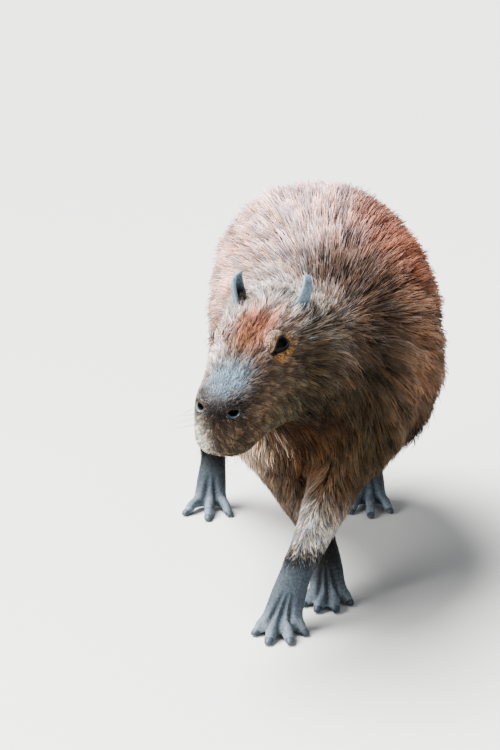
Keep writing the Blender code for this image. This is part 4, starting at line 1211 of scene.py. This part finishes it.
def grow_coat(skin, lofts, mouth):
    """Every coat piece of the body, from one scatter of roots over the skin."""
    random = np.random.default_rng(SEED)
    points, normals = coordinates(skin.data), normals_of(skin.data)
    depth = coat_depth(skin, lofts)
    lie = coat_lie(points, normals)
    length, rise = coat_length(points, depth)
    face = face_share(points)
    spacing = SPACING[0] + SPACING[1] * length
    spacing *= 1 + BARE_LEG_SPACING * (1 - ramp(points[:, 2], *HAIR_HEIGHTS))
    for side in (-1, 1):
        spacing *= 0.60 + 0.40 * ramp(around_eye(points, side)[1], 0.006, 0.018)
    bare = bareness(points, mouth)
    density = (1 - ramp(bare, 0.35, 0.85)) / spacing ** 2
    chosen, shares = scatter(points, triangles_of(skin.data), density, random)
    place = at_roots(points, chosen, shares)
    normal = unit(at_roots(normals, chosen, shares))
    face = face_share(place)
    turn = 0.10 * waves(place, 0.035, random) + 0.12 * waves(place, 0.12, random)
    turn += 0.035 * random.normal(size=len(place))
    flow = unit(at_roots(lie, chosen, shares))
    flow = unit(flow * np.cos(turn)[:, None] + np.cross(normal, flow) * np.sin(turn)[:, None])
    owner = nearest_ring(place, lofts)
    polygons = np.array([lie[list(p.vertices)].mean(0) for p in skin.data.polygons])
    reach = at_roots(length, chosen, shares) * random.uniform(0.75, 1.2, len(place))
    seen = place + random.normal(size=place.shape) * (0.012 - 0.007 * face)[:, None]
    furred = ramp(place[:, 2], *HAIR_HEIGHTS)
    snout = np.clip(1.6 * blob(in_head(place), SNOUT_AT, (0.036, 0.026, 0.024)), 0, 1)
    contrast = (0.30 + 0.50 * furred + 0.20 * face) * (1 - 0.6 * snout)
    fields = {
        "place": place,
        "normal": normal,
        "lie": flow,
        "length": reach,
        "depth": (at_roots(rise, chosen, shares) * (1 + 0.15 * waves(place, 0.060, random)) + 0.0008)
        * (0.30 + 0.70 * furred),
        "half": (WIDTH[0] + WIDTH[1] * reach) * random.uniform(0.7, 1.3, len(place)),
        "contrast": contrast,
        "clump": (0.46 - 0.04 * face) * furred,
        "color": markings(seen, normal) * (1.9 - 0.9 * furred)[:, None],
        "map": bake_place(place, owner, lofts),
        "streak": 0.5 + (streaks(place, flow, random) - 0.5) * contrast,
    }
    surface = BVHTree.FromObject(skin, bpy.context.evaluated_depsgraph_get())
    names = coat_name(place, normal, owner)
    pieces = []
    total = 0
    for name in sorted(set(names.tolist())):
        mine = names == name
        roots = {key: values[mine] for key, values in fields.items()}
        roots.update(surface=surface, face_lie=polygons)
        long = name.startswith(LONG_PIECES)
        stations, widths = (LONG_STATIONS, LONG_WIDTHS) if long else (SHORT_STATIONS, SHORT_WIDTHS)
        pieces.append(tuft_mesh(name, roots, random, stations, widths))
        faces = len(roots["place"]) * (6 * (len(stations) - 2) + 4)
        total += faces
        print(name, len(roots["place"]), "tufts", faces, "triangles")
    skin.data.calc_loop_triangles()
    print("coat total", total, "skin", len(skin.data.polygons), len(skin.data.loop_triangles))
    return pieces


def shader_node(tree, kind, **values):
    """A node with the values of its sockets and settings given by name."""
    made = tree.nodes.new("ShaderNode" + kind)
    for name, value in values.items():
        socket = name.replace("_", " ")
        if socket in made.inputs:
            if isinstance(value, bpy.types.NodeSocket):
                tree.links.new(value, made.inputs[socket])
            else:
                made.inputs[socket].default_value = value
        else:
            setattr(made, name, value)
    return made


def new_material(name, roughness, specular=0.4):
    """A material, its tree and its shader."""
    made = bpy.data.materials.new(name)
    made.use_nodes = True
    tree = made.node_tree
    shader = tree.nodes["Principled BSDF"]
    shader.inputs["Roughness"].default_value = roughness
    shader.inputs["Specular IOR Level"].default_value = specular
    return made, tree, shader


def curve(tree, value, stops):
    """A colour ramp of greys over a value."""
    made = tree.nodes.new("ShaderNodeValToRGB")
    ends = made.color_ramp.elements
    while len(ends) < len(stops):
        ends.new(0.5)
    for end, (at, grey) in zip(ends, stops):
        end.position = at
        end.color = (grey, grey, grey, 1) if np.isscalar(grey) else (*grey, 1)
    tree.links.new(value, made.inputs["Fac"])
    return made.outputs["Color"]


def blend(tree, kind, factor, a, b):
    """Two colours mixed, multiplied or added by a factor."""
    made = tree.nodes.new("ShaderNodeMix")
    made.data_type = "RGBA"
    made.blend_type = kind
    made.clamp_factor = True
    for socket, value in ((made.inputs[0], factor), (made.inputs[6], a), (made.inputs[7], b)):
        if isinstance(value, bpy.types.NodeSocket):
            tree.links.new(value, socket)
        else:
            socket.default_value = value
    return made.outputs[2]


def noise(tree, scale, detail=4.0, roughness=0.55, stretch=None):
    """A noise value over the object's own coordinates."""
    where = tree.nodes.new("ShaderNodeTexCoord").outputs["Object"]
    if stretch:
        where = shader_node(tree, "Mapping", Vector=where, Scale=stretch).outputs[0]
    made = shader_node(tree, "TexNoise", Vector=where, Scale=scale, Detail=detail, Roughness=roughness)
    return made.outputs["Fac"]


def raised(tree, shader, height, distance, strength=1.0):
    """A bump on the shader from a height."""
    made = shader_node(tree, "Bump", Height=height, Distance=distance, Strength=strength)
    tree.links.new(made.outputs["Normal"], shader.inputs["Normal"])


def coat_material():
    """Hair: the marks, darker at the roots as painted shade deep in the coat, paler at the tips as the hair's own pale
    ends, with each tuft a little different.
    """
    made, tree, shader = new_material("coat_hair", 0.58, 0.10)
    marks = shader_node(tree, "Attribute", attribute_name="marks")
    tint = shader_node(tree, "Attribute", attribute_name="tint")
    # along each tuft: painted shade towards the root, the hair's own paler ends at the tip
    depth = curve(tree, marks.outputs["Alpha"], ((0.0, 0.30), (0.30, 0.62), (0.70, 1.0), (1.0, 1.40)))
    own = curve(tree, tint.outputs["Fac"], ((0.10, 0.40), (0.35, 0.70), (0.62, 1.10), (0.90, 1.75)))
    patch = curve(tree, noise(tree, 28.0), ((0.30, 0.90), (0.70, 1.10)))
    color = blend(tree, "MULTIPLY", 1.0, marks.outputs["Color"], depth)
    color = blend(tree, "MULTIPLY", 1.0, color, own)
    color = blend(tree, "MULTIPLY", 1.0, color, patch)
    tree.links.new(color, shader.inputs["Base Color"])
    return made


def skin_material():
    """Skin: darkened under the coat as painted shade between the tufts, and finely pebbled where it is bare."""
    made, tree, shader = new_material("skin", 0.60, 0.22)
    marks = shader_node(tree, "Attribute", attribute_name="marks")
    # painted shade: the coat's colour darkened where the skin shows between tufts
    under = blend(tree, "MULTIPLY", 1.0, marks.outputs["Color"], (0.26, 0.22, 0.20, 1))
    mottle = curve(tree, noise(tree, 260.0, 3.0), ((0.30, 0.62), (0.72, 1.30)))
    open_skin = blend(tree, "MULTIPLY", 1.0, marks.outputs["Color"], mottle)
    color = blend(tree, "MIX", marks.outputs["Alpha"], under, open_skin)
    tree.links.new(color, shader.inputs["Base Color"])
    where = tree.nodes.new("ShaderNodeTexCoord").outputs["Object"]
    cells = shader_node(tree, "TexVoronoi", Vector=where, Scale=620.0)
    pebble = blend(tree, "MIX", 0.55, cells.outputs["Distance"], noise(tree, 420.0))
    raised(tree, shader, pebble, 0.0005, 0.6)
    return made


def plain_material(name, low, high, roughness, scale, stretch=None, bump=0.0, specular=0.4, coat=0.0):
    """A finish that wanders between two colours, with a bump of the same grain."""
    made, tree, shader = new_material(name, roughness, specular)
    grain = noise(tree, scale, 5.0, 0.6, stretch)
    tones = ((0.32, linear(low)), (0.68, linear(high)))
    tree.links.new(curve(tree, grain, tones), shader.inputs["Base Color"])
    if bump:
        raised(tree, shader, grain, bump)
    shader.inputs["Coat Weight"].default_value = coat
    shader.inputs["Coat Roughness"].default_value = 0.03
    return made


def eye_material():
    """A dark brown iris round a wide black pupil, under a wet coat."""
    made, tree, shader = new_material("eye_wet", 0.12, 0.10)
    view = shader_node(tree, "Attribute", attribute_name="sight")
    tones = (
        (0.0, linear((3, 3, 3))),
        (0.34, linear((4, 3, 3))),
        (0.42, linear((15, 10, 7))),
        (0.62, linear((12, 8, 6))),
        (0.74, linear((6, 5, 5))),
        (1.0, linear((20, 16, 15))),
    )
    tree.links.new(curve(tree, view.outputs["Fac"], tones), shader.inputs["Base Color"])
    shader.inputs["Coat Weight"].default_value = 0.05
    shader.inputs["Coat Roughness"].default_value = 0.03
    return made


def dress(piece, finish, slot, *nodes):
    """Gives a piece its finish, and says what it rides on and stands for; its slot is not used."""
    piece.data.materials.clear()
    piece.data.materials.append(finish)
    piece.data.transform(Matrix.Translation((-MIDDLE[0], -MIDDLE[1], 0)))
    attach(piece, "root")
    if nodes:
        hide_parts(*nodes)


def subdivided(obj, levels):
    step = obj.modifiers.new("smooth", "SUBSURF")
    step.levels = step.render_levels = levels
    evaluated_mesh(obj)


def tube(path, radii, sides=8, closed=False):
    """Points and faces of a tube along a path, its radius given at each point."""
    path = np.array(path, float)
    count = len(path)
    ahead, behind = np.roll(path, -1, 0), np.roll(path, 1, 0)
    if not closed:
        ahead[-1], behind[0] = path[-1], path[0]
    along = unit(ahead - behind)
    ref = unit(np.cross(along[0], (0.31, 0.52, 0.79)))
    turn = np.linspace(0, 2 * math.pi, sides, endpoint=False)
    rings = []
    for place, way, radius in zip(path, along, np.broadcast_to(radii, count)):
        ref = unit(ref - way * (ref @ way))
        side = np.cross(way, ref)
        rings.append(place + radius * (np.cos(turn)[:, None] * ref + np.sin(turn)[:, None] * side))
    if not closed:
        return skin_rings(rings)
    points, faces = np.vstack(rings), []
    for i in range(count):
        for j in range(sides):
            a, b = i * sides + j, i * sides + (j + 1) % sides
            faces.append((a, b, (b + sides) % (count * sides), (a + sides) % (count * sides)))
    return points, faces


def make_eye(word, side):
    """An eyeball with its pupil towards the opening."""
    place = eye_frame(side)
    points, faces = ball((0, 0, 0), EYE_RADIUS, 64, 40)
    turn = np.array(place)
    eye = mesh_object(f"eye_{word}_ball", points @ turn[:3, :3].T + turn[:3, 3], faces)
    sight = np.arccos(np.clip(points[:, 2] / EYE_RADIUS, -1, 1)) / (math.pi / 2)
    eye.data.attributes.new("sight", "FLOAT", "POINT").data.foreach_set("value", sight.clip(0, 1))
    return eye


def lid_outline(side, spread, out, steps=40):
    """Points round the opening between the lids, at a distance from the eyeball's middle."""
    wide, up, down = EYE_OPENING
    place = np.array(eye_frame(side))
    found = []
    for t in np.linspace(0, 2 * math.pi, steps, endpoint=False):
        a = (wide + spread) * math.cos(t)
        tall = (up if math.sin(t) > 0 else down) + spread
        radius = ((wide + spread) ** 2 + tall ** 2) / (2 * tall)
        b = math.copysign(math.sqrt(max(radius ** 2 - a ** 2, 0)) - (radius - tall), math.sin(t))
        c = math.sqrt(max(EYE_RADIUS ** 2 - a * a - b * b, (0.2 * EYE_RADIUS) ** 2))
        way = unit(np.array((a, b, c)))
        found.append(place[:3, :3] @ (way * out) + place[:3, 3])
    return found


def make_lid_rim(word, side):
    """The dark wet edge of both lids."""
    rim = mesh_object(f"lid_rim_{word}", *tube(lid_outline(side, 0.0002, EYE_RADIUS + 0.0006), 0.0008, 8, True))
    return rim


def bristle(root, way, bend, length, radius, steps=6):
    """A tapering hair that bends on its way."""
    share = np.linspace(0, 1, steps)[:, None]
    path = np.array(root) + np.array(way) * length * share + np.array(bend) * length * share ** 2
    return tube(path, radius * (1 - 0.93 * share[:, 0]), 5)


def make_lashes(word, side, random):
    """Short dark lashes along the upper lid."""
    place = np.array(eye_frame(side))
    rim = lid_outline(side, 0.0004, EYE_RADIUS + 0.0012, 40)
    parts = []
    for k in range(2, 19):
        t = 2 * math.pi * k / 40
        way = place[:3, :3] @ unit(np.array((0.45 * math.cos(t) - 0.35, 0.30, 0.9)))
        bend = place[:3, :3] @ np.array((-0.25, 0.30, 0.0))
        length = LASH_LENGTH * random.uniform(0.7, 1.2)
        parts.append(bristle(rim[k], way, bend, length, 0.00022))
    return mesh_object(f"lashes_{word}", *joined(parts))


def make_whiskers(skin, random):
    """Whiskers on both sides of the muzzle, at the chin, and over the eyes."""
    surface = BVHTree.FromObject(skin, bpy.context.evaluated_depsgraph_get())
    turn = TO_MODEL[:3, :3]
    parts = []
    for centre, spread, way, bend, length, count in WHISKERS:
        for side in (-1, 1):
            for _ in range(count):
                local = np.array(centre) + np.array(spread) * random.uniform(-1, 1, 3)
                local[1] *= side
                root = surface.find_nearest(Vector(turn @ local + TO_MODEL[:3, 3]))[0]
                heading = unit(np.array(way) + random.normal(size=3) * 0.12) * (1, side, 1)
                fall = np.array(bend) * (1, side, 1)
                reach = length * random.uniform(0.7, 1.2)
                parts.append(bristle(root, turn @ heading, turn @ fall, reach, 0.00022, 8))
    return mesh_object("whiskers", *joined(parts))


def ear_half_width(t):
    """The ear's half width from its root at 0 to its rounded tip at 1."""
    middle = 0.45
    reach = 0.60 if t < middle else 0.560
    return EAR_HALF_WIDTH * (1 - (abs(t - middle) / reach) ** 2.5) ** 0.4


def make_ear(word, side, steps_up=20, steps_across=22):
    """An ear: a cupped leaf with a rolled rim and a fold inside, its opening to the side and a little forward."""
    place = side_frame(side)
    base, up, opens = Vector(EAR_AT[side]), Vector(EAR_UP).normalized(), Vector(EAR_OPENS[side])
    opens = (opens - up * up.dot(opens)).normalized()
    across = up.cross(opens)
    inner, outer, edge, high = [], [], [], []
    for i in range(steps_up + 1):
        t = i / steps_up
        half_turn = math.radians(80 - 34 * t)
        wide = ear_half_width(t)
        radius = wide / math.sin(half_turn)
        spine = base + up * EAR_HEIGHT * (1.16 * t - 0.16) + opens * (0.40 * wide + EAR_HOOK * EAR_HEIGHT * t ** 3)
        for j in range(steps_across + 1):
            u = 2 * j / steps_across - 1
            a = half_turn * u
            away = across * math.sin(a) - opens * math.cos(a)
            rolled = math.exp(-((1 - abs(u)) / 0.16) ** 2) + math.exp(-((1 - t) / 0.10) ** 2)
            fold = 0.0016 * math.exp(-((u - 0.35) / 0.14) ** 2) * math.sin(math.pi * min(t * 1.2, 1))
            wall = EAR_WALL * (1 - 0.20 * t) * (0.75 + 0.55 * min(rolled, 1))
            outer.append(place @ (spine + away * (radius + wall / 2)))
            inner.append(place @ (spine + away * (radius - wall / 2 - fold)))
            edge.append(min(rolled, 1))
            high.append(t)
    row, half = steps_across + 1, len(outer)
    faces = []
    for i in range(steps_up):
        for j in range(steps_across):
            a = i * row + j
            faces.append((a, a + 1, a + row + 1, a + row))
            faces.append((half + a, half + a + row, half + a + row + 1, half + a + 1))
    rim = list(range(row))
    rim += [i * row + row - 1 for i in range(1, steps_up + 1)]
    rim += [steps_up * row + j for j in range(row - 2, -1, -1)]
    rim += [i * row for i in range(steps_up - 1, 0, -1)]
    faces += [(b, a, half + a, half + b) for a, b in zip(rim, rim[1:] + rim[:1])]
    ear = mesh_object(f"ear_{word}_skin", np.array(outer + inner), faces)
    color = np.ones((2 * half, 4))
    color[:half, :3] = linear(EAR_BACK)
    # painted shade: the inside dark low in the cup, fading to the ear's slate towards the tip
    shade = ramp(np.array(high), 0.40, 0.75)[:, None]
    color[half:, :3] = linear(EAR_HOLLOW_SHADE) * (1 - shade) + linear(EAR_BACK) * shade
    # painted highlight along the rolled rim and round the tip
    rim_highlight = np.array(edge * 2)[:, None]
    color[:, :3] += (linear(EAR_RIM_HIGHLIGHT) - color[:, :3]) * rim_highlight * 0.8
    add_color(ear.data, color)
    subdivided(ear, 1)
    return ear


def make_claws():
    """Each toe's nail: a hoof-like cap over the toe's tip, ridged along and blunt at its end."""
    claws = {}
    for limb, toes in TOES.items():
        for number, (root, tip) in enumerate(toes, 1):
            root_at, tip_at = toe_points(root, tip)
            along = (tip_at - root_at).normalized()
            side = Vector((0, 0, 1)).cross(along).normalized()
            up = along.cross(side)
            rings = []
            for s, wide, tall in NAIL_STATIONS:
                centre = tip_at + along * (CLAW_LENGTH * (s - 1)) + up * (0.0004 + 0.0005 * (1 - s))
                turn = np.linspace(0, 2 * math.pi, 28, endpoint=False)
                c, z = np.cos(turn), np.sin(turn)
                ridge = 1 + 0.02 * np.cos(14 * turn)
                low = np.where(z < 0, 0.62, 1.0)
                points = [
                    centre + side * float(wide * TOE_HALF_WIDTH * a * r) + up * float(tall * TOE_HALF_WIDTH * b * k * r)
                    for a, b, k, r in zip(c, z, low, ridge)
                ]
                rings.append(np.array(points))
            points, faces = skin_rings(rings)
            points[:, 2] = np.maximum(points[:, 2], 0.0002)
            name = f"{limb}_claw_{number}"
            claws[name] = mesh_object(f"{name}_nail", points, faces)
    return claws


def area_light(name, place, target, size, power, color=(1, 1, 1)):
    """A soft square light aimed at a point."""
    data = bpy.data.lights.new(name, "AREA")
    data.shape = "SQUARE"
    data.size = size
    data.energy = power
    data.color = color
    light = bpy.data.objects.new(name, data)
    bpy.context.scene.collection.objects.link(light)
    light.location = place
    light.rotation_euler = (Vector(target) - Vector(place)).to_track_quat("-Z", "Y").to_euler()


def make_stage():
    """A wide pale floor, soft light from overhead, and the camera at the photo's angle."""
    far = FLOOR_REACH
    floor = mesh_object("floor", [(-far, -far, 0), (far, -far, 0), (far, far, 0), (-far, far, 0)], [(0, 1, 2, 3)])
    made, tree, shader = new_material("pale_floor", 0.85, 0.2)
    shader.inputs["Base Color"].default_value = (0.74, 0.73, 0.71, 1)
    floor.data.materials.append(made)
    world = bpy.data.worlds.new("studio")
    world.use_nodes = True
    world.node_tree.nodes["Background"].inputs["Color"].default_value = (0.86, 0.90, 0.95, 1)
    world.node_tree.nodes["Background"].inputs["Strength"].default_value = WORLD_LIGHT
    bpy.context.scene.world = world
    for light in LIGHTS:
        area_light(*light)
    key = bpy.data.lights.new("key", "SUN")
    key.energy = KEY_STRENGTH
    key.angle = KEY_SPREAD
    lamp = bpy.data.objects.new("key", key)
    bpy.context.scene.collection.objects.link(lamp)
    lamp.rotation_euler = Vector(KEY_FROM).to_track_quat("Z", "Y").to_euler()
    data = bpy.data.cameras.new("camera")
    data.lens, data.sensor_width = 85, 36
    camera = bpy.data.objects.new("camera", data)
    bpy.context.scene.collection.objects.link(camera)
    camera.location = (-0.09 - MIDDLE[0], -2.735 - MIDDLE[1], 1.10)
    camera.rotation_euler = (math.radians(90 - 16), 0, 0)
    bpy.context.scene.camera = camera
    bpy.context.scene.view_settings.look = "AgX - Medium High Contrast"


def main():
    lofts = body_lofts()
    skin, mouth, grooves = make_skin(lofts)
    points, normals = coordinates(skin.data), normals_of(skin.data)
    marks = np.ones((len(points), 4))
    # painted shade: the grooves between the toes darkened
    marks[:, :3] = markings(points, normals) * (1 - 0.45 * grooves)[:, None]
    marks[:, 3] = np.maximum(bareness(points, mouth), 0.85 * (1 - ramp(points[:, 2], *SLATE_HEIGHTS)))
    add_color(skin.data, marks)
    hair = coat_material()
    coats = grow_coat(skin, lofts, mouth)
    random = np.random.default_rng(SEED + 1)
    dark_hair = plain_material("dark_bristles", (22, 18, 16), (48, 38, 30), 0.45, 90.0)
    whiskers = make_whiskers(skin, random)
    rim_skin = plain_material("lid_edge", (10, 8, 8), (20, 16, 14), 0.60, 320.0, bump=0.0002, specular=0.2)
    wet = eye_material()
    leather = skin_material()
    horn = plain_material("horn", (56, 66, 74), (84, 94, 100), 0.50, 160.0, (1, 1, 0.25), 0.0004, 0.4, 0.05)
    flesh = [f"{limb}_{part}" for limb in LIMBS for part in ("leg", "foot")]
    for word, side in (("right", -1), ("left", 1)):
        dress(make_eye(word, side), wet, "eye", f"eye_{word}")
        dress(make_lid_rim(word, side), rim_skin, "head_coat")
        dress(make_lashes(word, side, random), dark_hair, "head_coat")
        dress(make_ear(word, side), leather, "ear_skin", f"ear_{word}")
    for node, nail in make_claws().items():
        dress(nail, horn, "claw_horn", node)
    for piece in coats:
        slot = "torso_coat"
        if "muzzle" in piece.name or "cheek" in piece.name:
            slot = "head_coat"
        elif piece.name.endswith("_leg"):
            slot = "leg_coat"
        dress(piece, hair, slot)
    dress(whiskers, dark_hair, "head_coat")
    dress(skin, leather, "torso_coat", "head", "neck", "torso", *flesh)
    make_stage()


main()
